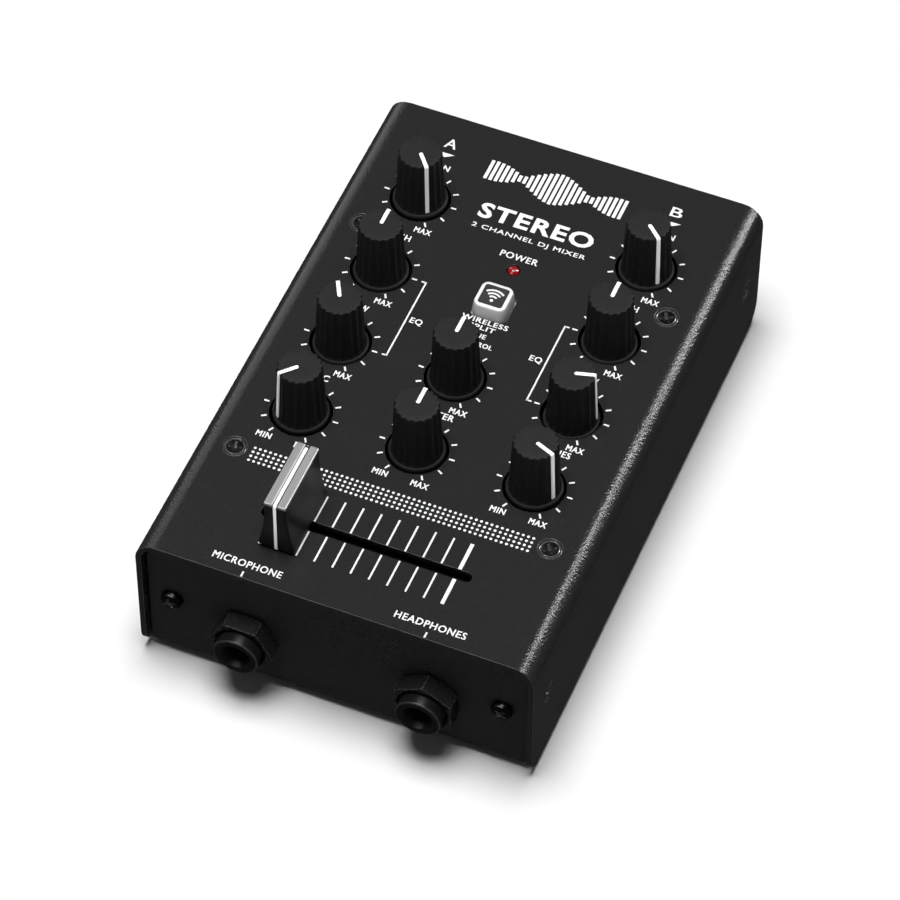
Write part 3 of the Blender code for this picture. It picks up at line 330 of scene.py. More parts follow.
def arc(radius, degrees, centre=(0, 0)):
    """Points on a circle at the given angles."""
    return [(centre[0] + radius * math.cos(math.radians(angle)),
             centre[1] + radius * math.sin(math.radians(angle))) for angle in degrees]


# Looks of the CAD pieces that stay --------------------------------------------

LOOKS = {
    "top_cover": POWDER, "chassis": POWDER, "main_board": BOARD, "socket_board": BOARD,
    "crossfader_track": DARK_STEEL, "crossfader_lever": DARK_STEEL, "tact_switch": JACK_BLACK,
    "dc_jack": JACK_BLACK, "power_switch": STEEL, "power_switch_lever": JACK_BLACK,
}
EDGE_ROUNDING = {
    "top_cover": 0.00022, "chassis": 0.00012, "power_switch_lever": 0.0002, "dc_jack": 0.0002,
}
for dial in DIALS:
    LOOKS[f"{dial}_potentiometer"] = DARK_STEEL
    LOOKS[f"{dial}_shaft"] = STEEL
for end in ("front", "rear"):
    for hand in ("left", "right"):
        LOOKS[f"foot_{end}_{hand}"] = RUBBER
        EDGE_ROUNDING[f"foot_{end}_{hand}"] = 0.0003


def node_group(name):
    group = bpy.data.node_groups.new(name, "GeometryNodeTree")
    group.interface.new_socket("Geometry", in_out="INPUT", socket_type="NodeSocketGeometry")
    group.interface.new_socket("Geometry", in_out="OUTPUT", socket_type="NodeSocketGeometry")
    group.is_modifier = True
    return group, node(group, "NodeGroupInput").outputs[0], node(group, "NodeGroupOutput").inputs[0]


def joined_faces():
    """Node group that joins a mesh's loose triangles and drops their stored normals."""
    group, begin, end = node_group("Joined faces")
    forget = node(group, "GeometryNodeRemoveAttribute", Name="custom_normal")
    merge = node(group, "GeometryNodeMergeByDistance", Distance=0.000002)
    group.links.new(begin, forget.inputs["Geometry"])
    group.links.new(forget.outputs["Geometry"], merge.inputs["Geometry"])
    group.links.new(merge.outputs["Geometry"], end)
    return group


def rounded_shading():
    """Node group that shades a mesh smooth, apart from its sharp edges."""
    group, begin, end = node_group("Rounded shading")
    faces = node(group, "GeometryNodeSetShadeSmooth", domain="FACE")
    edges = node(group, "GeometryNodeSetShadeSmooth", domain="EDGE")
    edges.inputs["Shade Smooth"].default_value = False
    angle = node(group, "GeometryNodeInputMeshEdgeAngle")
    sharp = node(group, "FunctionNodeCompare", data_type="FLOAT", operation="GREATER_THAN")
    sharp.inputs[1].default_value = math.radians(32)
    group.links.new(begin, faces.inputs["Geometry"])
    group.links.new(faces.outputs["Geometry"], edges.inputs["Geometry"])
    group.links.new(angle.outputs["Unsigned Angle"], sharp.inputs[0])
    group.links.new(sharp.outputs["Result"], edges.inputs["Selection"])
    group.links.new(edges.outputs["Geometry"], end)
    return group


JOINED_FACES = joined_faces()
ROUNDED_SHADING = rounded_shading()


def soften(shown, rounding, edge):
    """Small roundings along the edges, with a lighter look of their own painted on as a highlight, and
    smooth bends.
    """
    shown.modifiers.new("Joined", "NODES").node_group = JOINED_FACES
    if rounding:
        modifier = shown.modifiers.new("Edges", "BEVEL")
        modifier.width = rounding
        modifier.segments = 1
        modifier.limit_method = "ANGLE"
        modifier.angle_limit = math.radians(40)
        if edge:
            shown.data.materials.append(edge)
            modifier.material = 1
    shown.modifiers.new("Shading", "NODES").node_group = ROUNDED_SHADING
    modifier = shown.modifiers.new("Normals", "WEIGHTED_NORMAL")
    modifier.keep_sharp = True
    modifier.weight = 100


for name, look in LOOKS.items():
    kept = frame["nodes"][name]
    kept.data.materials.clear()
    kept.data.materials.append(look)
    # The top cover's edge roundings get a lighter colour: a painted highlight line.
    soften(kept, EDGE_ROUNDING.get(name, 0), POWDER_EDGE_HIGHLIGHT if name == "top_cover" else None)


# Knobs -----------------------------------------------------------------------

FLUTES = 18
FLUTE_POINTS = 10
FLUTE_DEPTH = 0.00050
RIDGE_SOFTNESS = 0.10
SKIRT = 0.0076
SKIRT_PROFILE = (  # inwards from the skirt's radius, and height
    (0.0002, 0.0), (0.0, 0.0002), (0.0, 0.0017), (0.00006, 0.00205), (0.00020, 0.00230),
    (0.00040, 0.00245), (0.00060, 0.00248), (0.00076, 0.00238), (0.00084, 0.00222),
)
BODY_START = 0.0023
BODY_BASE = 0.0068
BODY_TOP = 0.0060
KNOB_BORE = 0.0033
BORE_ROOF = 0.0050
KNOB_HOLLOW = 0.0055
KNOB_HOLLOW_HEIGHT = 0.0050
LINE_WIDTH = 0.00105
LINE_RISE = 0.00006
LINE_SINK = 0.00030
LINE_START = 0.0003
LINE_BEND = 0.00030
LINE_END = 0.0029
LINE_TIP_STEPS = 6


def fluted(radius, depth, height):
    """Scalloped ring: soft-pointed ridges with hollow flutes between them."""
    ring = []
    count = FLUTES * FLUTE_POINTS
    for step in range(count):
        share = (step % FLUTE_POINTS) / FLUTE_POINTS
        wave = math.sin(math.pi * share)
        hollow = math.sqrt(wave * wave + RIDGE_SOFTNESS ** 2) - RIDGE_SOFTNESS
        reach = radius - depth * hollow
        angle = 2 * math.pi * step / count
        ring.append(Vector((reach * math.cos(angle), reach * math.sin(angle), height)))
    return ring


def body_radius(height, level):
    """Radius of the tapered body at a level of a knob of that height."""
    taper = (BODY_BASE - BODY_TOP) / (height - BODY_START)
    return BODY_BASE - taper * max(level - BODY_START, 0)


def knob_shape(height):
    count = FLUTES * FLUTE_POINTS
    rings = [circle(radius, level, count) for radius, level in (
        (0, height - BORE_ROOF), (KNOB_BORE, height - BORE_ROOF), (KNOB_BORE, KNOB_HOLLOW_HEIGHT),
        (KNOB_HOLLOW, KNOB_HOLLOW_HEIGHT), (KNOB_HOLLOW, 0.0),
    )]
    rings += [circle(SKIRT - inset, level, count) for inset, level in SKIRT_PROFILE]
    for level, inset, depth in (
        (0.0022, 0.0, 0.10), (0.0027, 0.0, 0.75), (0.0034, 0.0, 1.0), (height / 2, 0.0, 1.0),
        (height - 0.00040, 0.0, 1.0), (height - 0.00018, 0.00005, 1.0),
        (height - 0.00005, 0.00016, 0.98), (height, 0.00034, 0.95),
    ):
        rings.append(fluted(body_radius(height, level) - inset, FLUTE_DEPTH * depth, level))
    rings.append(fluted(BODY_TOP * 0.55, FLUTE_DEPTH * 0.2, height - 0.00002))
    rings.append(circle(0, height - 0.00003, count))
    return loft(bmesh.new(), rings)


def pointer_shape(height):
    """A white strip across the knob's top and down its side to the skirt."""
    half = LINE_WIDTH / 2
    stations = []  # radius, height, half width, and how far the strip faces outwards
    for step in range(LINE_TIP_STEPS + 1):
        angle = math.radians(90 * step / LINE_TIP_STEPS)
        tip_half = max(half * math.sin(angle), 0.00004)
        stations.append((LINE_START + half * (1 - math.cos(angle)), height, tip_half, 0.0))
    edge = BODY_TOP - LINE_BEND
    stations.append((edge, height, half, 0.0))
    stations.append((edge + 0.00018, height - 0.00008, half, 0.5))
    stations.append((edge + 0.00028, height - 0.00028, half, 1.0))
    for level in (height - 0.0008, height * 0.6, height * 0.3, LINE_END):
        stations.append((body_radius(height, level), level, half * 0.95, 1.0))
    rings = []
    for radius, level, wide, lean in stations:
        out = Vector((lean, 0, 1 - lean)).normalized()
        centre = Vector((radius, 0, level))
        upper = centre + out * LINE_RISE
        lower = centre - out * LINE_SINK
        rings.append([upper + Vector((0, -wide, 0)), upper + Vector((0, wide, 0)),
                      lower + Vector((0, wide, 0)), lower + Vector((0, -wide, 0))])
    return loft(bmesh.new(), rings)


DIAL_SPOTS = {}
for dial in DIALS:
    centre = middle(f"{dial}_potentiometer")
    low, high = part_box(f"{dial}_knob")
    DIAL_SPOTS[dial] = (centre.x, centre.y)
    spot = (centre.x, centre.y, low.z)
    tall = high.z - low.z - LINE_RISE
    turn = spun(SCALE_MIN - JOINTS[f"{dial}_turn"]["range_deg"][1])
    piece(f"{dial}_fluted_knob", knob_shape(tall), KNOB, f"{dial}_dial",
          replaces=(f"{dial}_knob",), location=spot, turn=turn, smooth=50)
    piece(f"{dial}_pointer_line", pointer_shape(tall), POINTER, f"{dial}_dial",
          location=spot, turn=turn, smooth=40)


# Crossfader cap ----------------------------------------------------------------

CAP_TOP = 0.0061
CAP_CORNER = 0.0007
CAP_FOOT_SHARE = 0.05
CAP_SWEEP = 2.2
CAP_LINE = 0.00085
CAP_LINE_GROOVE = 0.00035
CAP_SLIT = 0.0013
SILVER_THICK = 0.0012
SILVER_EDGE = 0.00038
LEVER_POCKET = (0.0028, 0.0009, 0.0095)  # half width, half depth, height

cap_low, cap_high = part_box("crossfader_cap")
CAP_SPOT = ((cap_low.x + cap_high.x) / 2, (cap_low.y + cap_high.y) / 2, cap_low.z)
CAP_LENGTH = cap_high.y - cap_low.y
CAP_BASE = cap_high.x - cap_low.x
CAP_RISE = cap_high.z - cap_low.z


def cap_shape():
    """Black body: broad foot sweeping in to a narrow grip."""
    rings = []
    height = cap_high.z - cap_low.z - SILVER_THICK * 0.7
    for share, inset in (
        (0.0, 0.00025), (0.012, 0.00006), (0.03, 0.0), (0.08, 0.0), (0.15, 0.0), (0.22, 0.0),
        (0.3, 0.0), (0.38, 0.0), (0.46, 0.0), (0.54, 0.0), (0.62, 0.0), (0.7, 0.0), (0.8, 0.0),
        (0.9, 0.0), (1.0, 0.0),
    ):
        rise = max(share - CAP_FOOT_SHARE, 0) / (1 - CAP_FOOT_SHARE)
        narrowing = 1 - (1 - rise) ** CAP_SWEEP
        width = CAP_BASE + (CAP_TOP - CAP_BASE) * narrowing - 2 * inset
        rings.append(square(width, CAP_CORNER, height * share, 4, CAP_LENGTH - 2 * inset))
    return loft(bmesh.new(), rings)


groove = block(bmesh.new(), (-CAP_LINE / 2, -CAP_LENGTH / 2 - OVER, -OVER),
               (CAP_LINE / 2, -CAP_LENGTH / 2 + CAP_LINE_GROOVE, CAP_RISE + OVER))
pocket = block(bmesh.new(), (-LEVER_POCKET[0], -LEVER_POCKET[1], -OVER), LEVER_POCKET)
piece("crossfader_grip", cut(cut(cap_shape(), groove), pocket), CAP_BLACK, "crossfader",
      replaces=("crossfader_cap",), location=CAP_SPOT, smooth=40)
strip_width = (CAP_TOP - CAP_SLIT) / 2
for side, hand in ((-1, "left"), (1, "right")):
    x = side * (CAP_SLIT / 2 + strip_width / 2)
    strip = block(bmesh.new(), (x - strip_width / 2, -CAP_LENGTH / 2, CAP_RISE - SILVER_THICK),
                  (x + strip_width / 2, CAP_LENGTH / 2, CAP_RISE))
    piece(f"crossfader_silver_{hand}", strip, CAP_SILVER, "crossfader", location=CAP_SPOT,
          bevel=SILVER_EDGE, bevel_steps=3)
line_face = -CAP_LENGTH / 2 - 0.00002
line_end = CAP_LENGTH / 2 - 0.0012
outline = [(line_face, 0.0), (line_face, CAP_RISE - 0.0010), (line_face + 0.0002, CAP_RISE - 0.0004),
           (line_face + 0.0006, CAP_RISE - 0.0001), (line_face + 0.0011, CAP_RISE),
           (line_end, CAP_RISE), (line_end, CAP_RISE - 0.0006),
           (line_face + 0.0012, CAP_RISE - 0.0006), (line_face + 0.0006, CAP_RISE - 0.0012),
           (line_face + 0.0004, 0.0)]
line = loft(bmesh.new(), [[Vector((x, y, z)) for y, z in outline]
                          for x in (-CAP_LINE / 2, CAP_LINE / 2)])
piece("crossfader_white_line", line, POINTER, "crossfader", location=CAP_SPOT, smooth=40)
under = block(bmesh.new(), (-CAP_SLIT / 2 - 0.0002, -CAP_LENGTH / 2 + 0.0009, CAP_RISE - SILVER_THICK),
              (CAP_SLIT / 2 + 0.0002, CAP_LENGTH / 2 - 0.0002, CAP_RISE - 0.0005))
piece("crossfader_slit_floor", under, CAP_BLACK, "crossfader", location=CAP_SPOT)


# Push button ---------------------------------------------------------------------

BUTTON_PROFILE = (  # side, corner radius, height above the cover
    (0.0097, 0.0022, 0.0004), (0.00965, 0.0022, 0.0010), (0.00955, 0.0022, 0.0018),
    (0.00938, 0.0021, 0.0026),
)
BUTTON_CROWN = (  # side, corner radius, depth below the button's top
    (0.00915, 0.0021, 0.0008), (0.00900, 0.0020, 0.0004), (0.00875, 0.0019, 0.00012),
    (0.00840, 0.0018, 0.0), (0.0070, 0.0010, 0.0),
)
FLANGE_CORNER = 0.0022
FLANGE_TOP_DEPTH = 0.0018
INSET_SIDE, INSET_CORNER = 0.0069, 0.0008
SYMBOL_BASE = (0, -0.0017)
SYMBOL_DOT = 0.00048
SYMBOL_ARCS = (0.00145, 0.00255, 0.00365)
SYMBOL_STROKE = 0.00055
SYMBOL_RISE = 0.00005

flange_low, flange_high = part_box("wireless_button")
BUTTON_TOP = flange_high.z
BUTTON_SPOT = ((flange_low.x + flange_high.x) / 2, (flange_low.y + flange_high.y) / 2, 0)
FLANGE = flange_high.x - flange_low.x
UNDER = TOP - FLANGE_TOP_DEPTH
button = loft(bmesh.new(), [
    square(FLANGE, FLANGE_CORNER, flange_low.z), square(FLANGE, FLANGE_CORNER, UNDER),
    square(BUTTON_PROFILE[0][0], BUTTON_PROFILE[0][1], UNDER),
    *(square(side, corner, TOP + height) for side, corner, height in BUTTON_PROFILE),
    *(square(side, corner, BUTTON_TOP - depth) for side, corner, depth in BUTTON_CROWN),
])
piece("wireless_button_cap", button, BUTTON_WHITE, "wireless_push_button",
      replaces=("wireless_button",), location=BUTTON_SPOT, smooth=50)
inset = loft(bmesh.new(), [square(INSET_SIDE, INSET_CORNER, BUTTON_TOP - 0.0001),
                           square(INSET_SIDE, INSET_CORNER, BUTTON_TOP + 0.00002)])
piece("wireless_button_inset", inset, BUTTON_BLACK, "wireless_push_button", location=BUTTON_SPOT)


def band(shape, centre, radius, width, start, end, low, high, steps=20):
    """A flat ring sector."""
    angles = [start + (end - start) * step / steps for step in range(steps + 1)]
    outline = arc(radius + width / 2, angles, centre) + arc(radius - width / 2, angles, centre)[::-1]
    return slab(shape, outline, low, high)


symbol = slab(bmesh.new(), arc(SYMBOL_DOT, range(0, 360, 15), SYMBOL_BASE),
              BUTTON_TOP, BUTTON_TOP + SYMBOL_RISE)
for radius in SYMBOL_ARCS:
    band(symbol, SYMBOL_BASE, radius, SYMBOL_STROKE, 48, 132, BUTTON_TOP, BUTTON_TOP + SYMBOL_RISE)
piece("wireless_button_symbol", symbol, PRINT, "wireless_push_button", location=BUTTON_SPOT)


# Power light -----------------------------------------------------------------------

LED_RADIUS = 0.0017
LED_DOME = 0.0014
LED_LENGTH = 0.0052
DOME_STEPS = 12

led_low, led_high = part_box("power_led")
profile = [(0, led_high.z - LED_LENGTH), (LED_RADIUS, led_high.z - LED_LENGTH),
           (LED_RADIUS, led_high.z - LED_DOME)]
for step in range(1, DOME_STEPS + 1):
    angle = math.radians(90 * step / DOME_STEPS)
    profile.append((LED_RADIUS * math.cos(angle) if step < DOME_STEPS else 0,
                    led_high.z - LED_DOME + LED_DOME * math.sin(angle)))
piece("power_led_lens", turned(bmesh.new(), profile, 48), RED_LENS, "case", replaces=("power_led",),
      smooth=60,
      location=((led_low.x + led_high.x) / 2, (led_low.y + led_high.y) / 2, 0))


# Screws ------------------------------------------------------------------------------

CROSS_SPAN = 0.0036
CROSS_WIDTH = 0.00085
CROSS_DEPTH = 0.0014
CROSS_OVER = 0.0005
FLAT_RADIUS = 0.0031
FLAT_REACH = 0.0060
PAN_RADIUS = 0.0030
PAN_REACH = 0.0050
PAN_FACE = 0.0021
SCREW_THREAD = 0.0015
SIDE_SCREW_Y, SIDE_SCREW_DROP = 0.0735, 0.0210


def cross_tool(face):
    """A cross recess that narrows downwards."""
    tool = None
    for quarter in (0, 90):
        rings = []
        for level, span, width in (
            (face - CROSS_DEPTH, 0.35, 0.6), (face, 1.0, 1.0), (face + CROSS_OVER, 1.1, 1.05),
        ):
            half, wide = CROSS_SPAN / 2 * span, CROSS_WIDTH / 2 * width
            rings.append([Vector((half, wide, level)), Vector((-half, wide, level)),
                          Vector((-half, -wide, level)), Vector((half, -wide, level))])
        arm = loft(bmesh.new(), rings)
        bmesh.ops.rotate(arm, verts=arm.verts, matrix=Matrix.Rotation(math.radians(quarter), 3, "Z"))
        tool = arm if tool is None else cut(tool, arm, "UNION")
    hub = turned(bmesh.new(), [(0, face - CROSS_DEPTH), (0.0003, face - CROSS_DEPTH), (0.00085, face),
                               (0.0009, face + CROSS_OVER), (0, face + CROSS_OVER)], 24)
    return cut(tool, hub, "UNION")


def ring_or_recess(face):
    """The turned ring's flanks and the recess walls of a flat screw, which take a lighter colour painted
    as glints.
    """
    return 0.05 < abs(face.normal.z) < 0.985 and face.calc_center_median().z > -0.0012


def recess_wall(face):
    """The recess walls of a pan head screw, which take a lighter colour painted as glints."""
    centre = face.calc_center_median()
    return abs(face.normal.z) < 0.75 and centre.z > 0.0006 and math.hypot(centre.x, centre.y) < 0.0020


def flat_screw():
    """Countersunk head with a turned ring round its recess."""
    profile = [
        (0, -FLAT_REACH), (SCREW_THREAD, -FLAT_REACH), (SCREW_THREAD, SCREW_THREAD - FLAT_RADIUS),
        (FLAT_RADIUS - 0.00008, -0.00018), (FLAT_RADIUS, -0.00010), (FLAT_RADIUS - 0.0001, -0.00003),
        (FLAT_RADIUS - 0.00035, 0.0), (FLAT_RADIUS - 0.00050, -0.00012),
        (FLAT_RADIUS - 0.00062, -0.00012), (FLAT_RADIUS - 0.00078, 0.0), (0, 0.00003),
    ]
    return cut(turned(bmesh.new(), profile, 64), cross_tool(0.0))


def pan_screw():
    profile = [
        (0, -PAN_REACH), (SCREW_THREAD, -PAN_REACH), (SCREW_THREAD, 0.0), (PAN_RADIUS, 0.0),
        (PAN_RADIUS, 0.0009), (PAN_RADIUS * 0.97, 0.0013), (PAN_RADIUS * 0.88, 0.0017),
        (PAN_RADIUS * 0.72, 0.0020), (PAN_RADIUS * 0.4, 0.00215), (0, 0.0022),
    ]
    return cut(turned(bmesh.new(), profile, 64), cross_tool(PAN_FACE))


def flat_screw_piece(name, place, turn, replaces=()):
    return piece(name, flat_screw(), SCREW_BLACK, "case", replaces=replaces,
                 location=place, turn=turn, smooth=28, edge=SCREW_GLINT, painted_highlight_faces=ring_or_recess)


SCREW_TURNS = {"front_left": 12.0, "front_right": 38.0, "rear_left": 55.0, "rear_right": 30.0}
for spot, turn in SCREW_TURNS.items():
    centre = middle(f"cover_screw_{spot}")
    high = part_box(f"cover_screw_{spot}")[1].z
    flat_screw_piece(f"cover_screw_{spot}_detailed", (centre.x, centre.y, high), spun(turn),
                     replaces=(f"cover_screw_{spot}",))
for hand, turn in (("left", 20.0), ("right", 50.0)):
    centre = middle(f"panel_screw_{hand}")
    for end, panel, facing, replaced in (
        ("front", FRONT_PANEL - 0.00002, FORWARDS, (f"panel_screw_{hand}",)),
        ("rear", REAR_PANEL + 0.00002, BACKWARDS, ()),
    ):
        piece(f"{end}_panel_screw_{hand}_detailed", pan_screw(), SCREW_BLACK, "case", replaces=replaced,
              location=(centre.x, panel, centre.z), turn=facing @ spun(turn),
              smooth=30, edge=SCREW_GLINT, painted_highlight_faces=recess_wall)
for side, hand in ((-1, "left"), (1, "right")):
    for end, end_name in ((-1, "front"), (1, "rear")):
        place = (side * (SIDE - 0.0001), end * SIDE_SCREW_Y, TOP - SIDE_SCREW_DROP)
        facing = Matrix.Rotation(math.radians(90 * side), 4, "Y") @ spun(35 * end)
        flat_screw_piece(f"side_screw_{end_name}_{hand}", place, facing)


# Front sockets -------------------------------------------------------------------------


BUSHING_PROFILE = (  # radius, and height from the mouth: bore, mouth, thread, body
    (0, -0.0250), (0.0032, -0.0250), (0.0032, -0.0016), (0.0034, -0.0013), (0.0040, -0.00035),
    (0.0042, -0.00012), (0.0044, -0.00002), (0.0046, 0.0), (0.0058, 0.0), (0.00608, -0.00006),
    (0.00624, -0.00018), (0.0063, -0.00035), (0.0063, -0.0098), (0.0079, -0.0099),
    (0.0079, -0.0298), (0, -0.0298),
)
NUT_ACROSS = 0.0158
NUT_THICK = 0.0050
NUT_CHAMFER_START = 0.0080
NUT_OVER = 0.0005
NUT_BORE = 0.0066


def mouth_rim(face):
    """The rounded outer edge of a socket's mouth, which takes a lighter colour painted as a highlight.
    """
    centre = face.calc_center_median()
    return centre.z > -0.00030 and math.hypot(centre.x, centre.y) > 0.0058


def hexagon(across, level, flat_up):
    radius = across / math.sqrt(3)
    first = 0 if flat_up else 30
    return [Vector((x, y, level)) for x, y in arc(radius, range(first, first + 360, 60))]


def nut_shape(flat_up):
    """Hexagon nut, chamfered towards the panel and hollowed at the front; its back at 0."""
    corner = NUT_ACROSS / math.sqrt(3) + NUT_OVER
    slope = math.tan(math.radians(30))
    shape = loft(bmesh.new(), [hexagon(NUT_ACROSS, 0, flat_up), hexagon(NUT_ACROSS, NUT_THICK, flat_up)])
    cone = turned(bmesh.new(), [
        (0, -NUT_OVER), (NUT_CHAMFER_START - NUT_OVER / slope, -NUT_OVER),
        (corner, (corner - NUT_CHAMFER_START) * slope), (corner, NUT_THICK + NUT_OVER),
        (0, NUT_THICK + NUT_OVER),
    ], 120)
    bore = turned(bmesh.new(), [
        (0, -OVER), (NUT_BORE, -OVER), (NUT_BORE, NUT_THICK - 0.0009), (0.0071, NUT_THICK - 0.0002),
        (0.0073, NUT_THICK + NUT_OVER), (0, NUT_THICK + NUT_OVER),
    ], 96)
    return cut(cut(shape, cone, "INTERSECT"), bore)


for use, flat_up in (("microphone", True), ("headphone", False)):
    centre = middle(f"{use}_jack")
    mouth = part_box(f"{use}_jack")[0].y
    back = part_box(f"{use}_jack_nut")[1].y
    piece(f"{use}_jack_bushing", turned(bmesh.new(), BUSHING_PROFILE), JACK_BLACK, "case",
          replaces=(f"{use}_jack",), location=(centre.x, mouth, centre.z),
          turn=FORWARDS, smooth=40, edge=JACK_RIM_HIGHLIGHT, painted_highlight_faces=mouth_rim)
    # The nut's bevelled edges take a lighter colour painted as a highlight.
    piece(f"{use}_nut_detailed", nut_shape(flat_up), NUT_BLACK, "case",
          replaces=(f"{use}_jack_nut",), location=(centre.x, back, centre.z),
          turn=FORWARDS, smooth=30, bevel=0.00016, bevel_steps=1, edge=NUT_EDGE_HIGHLIGHT)


# Rear sockets -----------------------------------------------------------------------------

BLOCK_GAP = 0.0015  # the block's face lies this far inside the rear panel
SOCKET_INSET = 0.0060  # a socket's axis, from the block's top or bottom
SLEEVE_PROFILE = (  # radius and height from the panel
    (0, -0.0014), (0.0041, -0.0014), (0.00415, 0.0078), (0.0040, 0.0082), (0.0036, 0.0084),
    (0.0032, 0.0084), (0.0030, 0.0081), (0.0030, 0.0005), (0, 0.0005),
)
INSULATOR_PROFILE = (
    (0, 0.0020), (0.0016, 0.0020), (0.0016, 0.0076), (0.0018, 0.0079), (0.0028, 0.0079),
    (0.00299, 0.0077), (0.00299, 0.0010), (0, 0.0010),
)

for column in ("a", "b", "master"):
    low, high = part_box(f"phono_sockets_{column}")
    inner = block(bmesh.new(), low, (high.x, REAR_PANEL - BLOCK_GAP, high.z))
    piece(f"phono_block_{column}", inner, JACK_BLACK, "case",
          replaces=(f"phono_sockets_{column}",), bevel=0.0003)
    for level, z, ring_look in (
        ("low", low.z + SOCKET_INSET, RING_RED), ("high", high.z - SOCKET_INSET, RING_WHITE),
    ):
        spot = ((low.x + high.x) / 2, REAR_PANEL, z)
        piece(f"phono_sleeve_{column}_{level}", turned(bmesh.new(), SLEEVE_PROFILE, 64), NICKEL, "case",
              location=spot, turn=BACKWARDS)
        piece(f"phono_insulator_{column}_{level}", turned(bmesh.new(), INSULATOR_PROFILE, 48),
              ring_look, "case", location=spot, turn=BACKWARDS)


# Printing on the cover ------------------------------------------------------------------------

PRINT_SINK = 0.00001
PRINT_RISE = 0.00003
LAYER_STEP = 0.000002
TICK_WIDTH = 0.0005
TICK_START, TICK_END = 0.0090, 0.0105  # distances from a dial's axis
FADER_MARK_HALF_SPAN = 0.02515
FADER_MARK_START = 0.0017  # distances from the slot's middle line
FADER_MARK_REAR, FADER_MARK_FRONT = 0.01045, 0.0102
FADER_END_WIDTH = 0.0010
BRACKET_WIDTH = 0.00045
BRACKET_HIGH, BRACKET_LOW = 0.0251, -0.00225
BRACKET_STUB = 0.0013
SOCKET_TICK = (-0.0824, -0.0841)
DOT_COLUMNS, DOT_ROWS = 55, 4
DOT_CORNER = (-0.0389, -0.0486)
DOT_PITCH, DOT_RADIUS = 0.00144, 0.00040
WAVE_BARS = 27
WAVE_HALF_SPAN = 0.0195
WAVE_MIDDLE = 0.0697
WAVE_BAR_WIDTH = 0.00095


def printed(shape, outline):
    """A printed patch on the cover."""
    return slab(shape, outline, TOP - PRINT_SINK, TOP + PRINT_RISE)


def bar(shape, start, end, width):
    """A straight printed line on the cover."""
    start, end = Vector(start), Vector(end)
    across = (end - start).normalized().orthogonal() * width / 2
    return printed(shape, [start - across, end - across, end + across, start + across])


def lettering(shape, text, centre, height, width=None, weight=0.0, bold=0.00006, place=None):
    """Letters from the built-in font, scaled to a height and width about a centre.

    weight swells the font's outlines; bold is the offset of four stacked copies instead.
    """
    curve = bpy.data.curves.new("letters", "FONT")
    curve.body = text
    curve.size = 1.0
    curve.offset = weight
    curve.space_character = 1.12
    curve.resolution_u = 3
    curve.extrude = 0.5
    letters = bpy.data.objects.new("letters", curve)
    SCENE.collection.objects.link(letters)
    bpy.context.view_layer.update()
    mesh = bpy.data.meshes.new_from_object(letters.evaluated_get(bpy.context.evaluated_depsgraph_get()))
    bpy.data.objects.remove(letters)
    bpy.data.curves.remove(curve)
    points = [vert.co.copy() for vert in mesh.vertices]
    low_x, high_x = min(p.x for p in points), max(p.x for p in points)
    low_y, high_y = min(p.y for p in points), max(p.y for p in points)
    tall = (height - bold) / (high_y - low_y)
    wide = (width - 2 * bold) / (high_x - low_x) if width else tall
    place = place or Matrix.Translation((0, 0, TOP))
    flat = [((p.x - (low_x + high_x) / 2) * wide, (p.y - (low_y + high_y) / 2) * tall, p.z > 0)
            for p in points]
    shifts = ((-1, -1), (1, -1), (-1, 1), (1, 1)) if bold else ((0, 0),)
    for layer, (right, up) in enumerate(shifts):
        for vert, (x, y, upper) in zip(mesh.vertices, flat):
            z = PRINT_RISE + layer * LAYER_STEP if upper else -PRINT_SINK
            vert.co = place @ Vector((x + centre[0] + right * bold, y + centre[1] + up * bold / 2, z))
        shape.from_mesh(mesh)
    bpy.data.meshes.remove(mesh)
    return shape


scales = bmesh.new()
for spot in DIAL_SPOTS.values():
    for step in range(11):
        angle = [SCALE_MAX + (SCALE_MIN - SCALE_MAX) * step / 10]
        bar(scales, arc(TICK_START, angle, spot)[0], arc(TICK_END, angle, spot)[0], TICK_WIDTH)
SLOT_Y = (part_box("crossfader_track")[0].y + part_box("crossfader_track")[1].y) / 2
for step in range(11):
    x = FADER_MARK_HALF_SPAN * (step - 5) / 5
    width = FADER_END_WIDTH if step in (0, 10) else TICK_WIDTH
    bar(scales, (x, SLOT_Y + FADER_MARK_START), (x, SLOT_Y + FADER_MARK_REAR), width)
    bar(scales, (x, SLOT_Y - FADER_MARK_START), (x, SLOT_Y - FADER_MARK_FRONT), width)
for x, stub in ((-0.0197, -1), (0.0202, 1)):
    bar(scales, (x, BRACKET_LOW - 0.00022), (x, BRACKET_HIGH + 0.00022), BRACKET_WIDTH)
    for y in (BRACKET_LOW, BRACKET_HIGH):
        bar(scales, (x + stub * BRACKET_STUB, y), (x, y), BRACKET_WIDTH)
for x in (-0.0253, 0.0251):
    bar(scales, (x, SOCKET_TICK[0]), (x, SOCKET_TICK[1]), TICK_WIDTH)
piece("printed_scales", scales, PRINT, "case", smooth=20)

dots = bmesh.new()
for column in range(DOT_COLUMNS):
    for row in range(DOT_ROWS):
        spot = (DOT_CORNER[0] + DOT_PITCH * column, DOT_CORNER[1] + DOT_PITCH * row)
        printed(dots, arc(DOT_RADIUS, range(0, 360, 36), spot))
piece("printed_dots", dots, PRINT, "case", smooth=20)

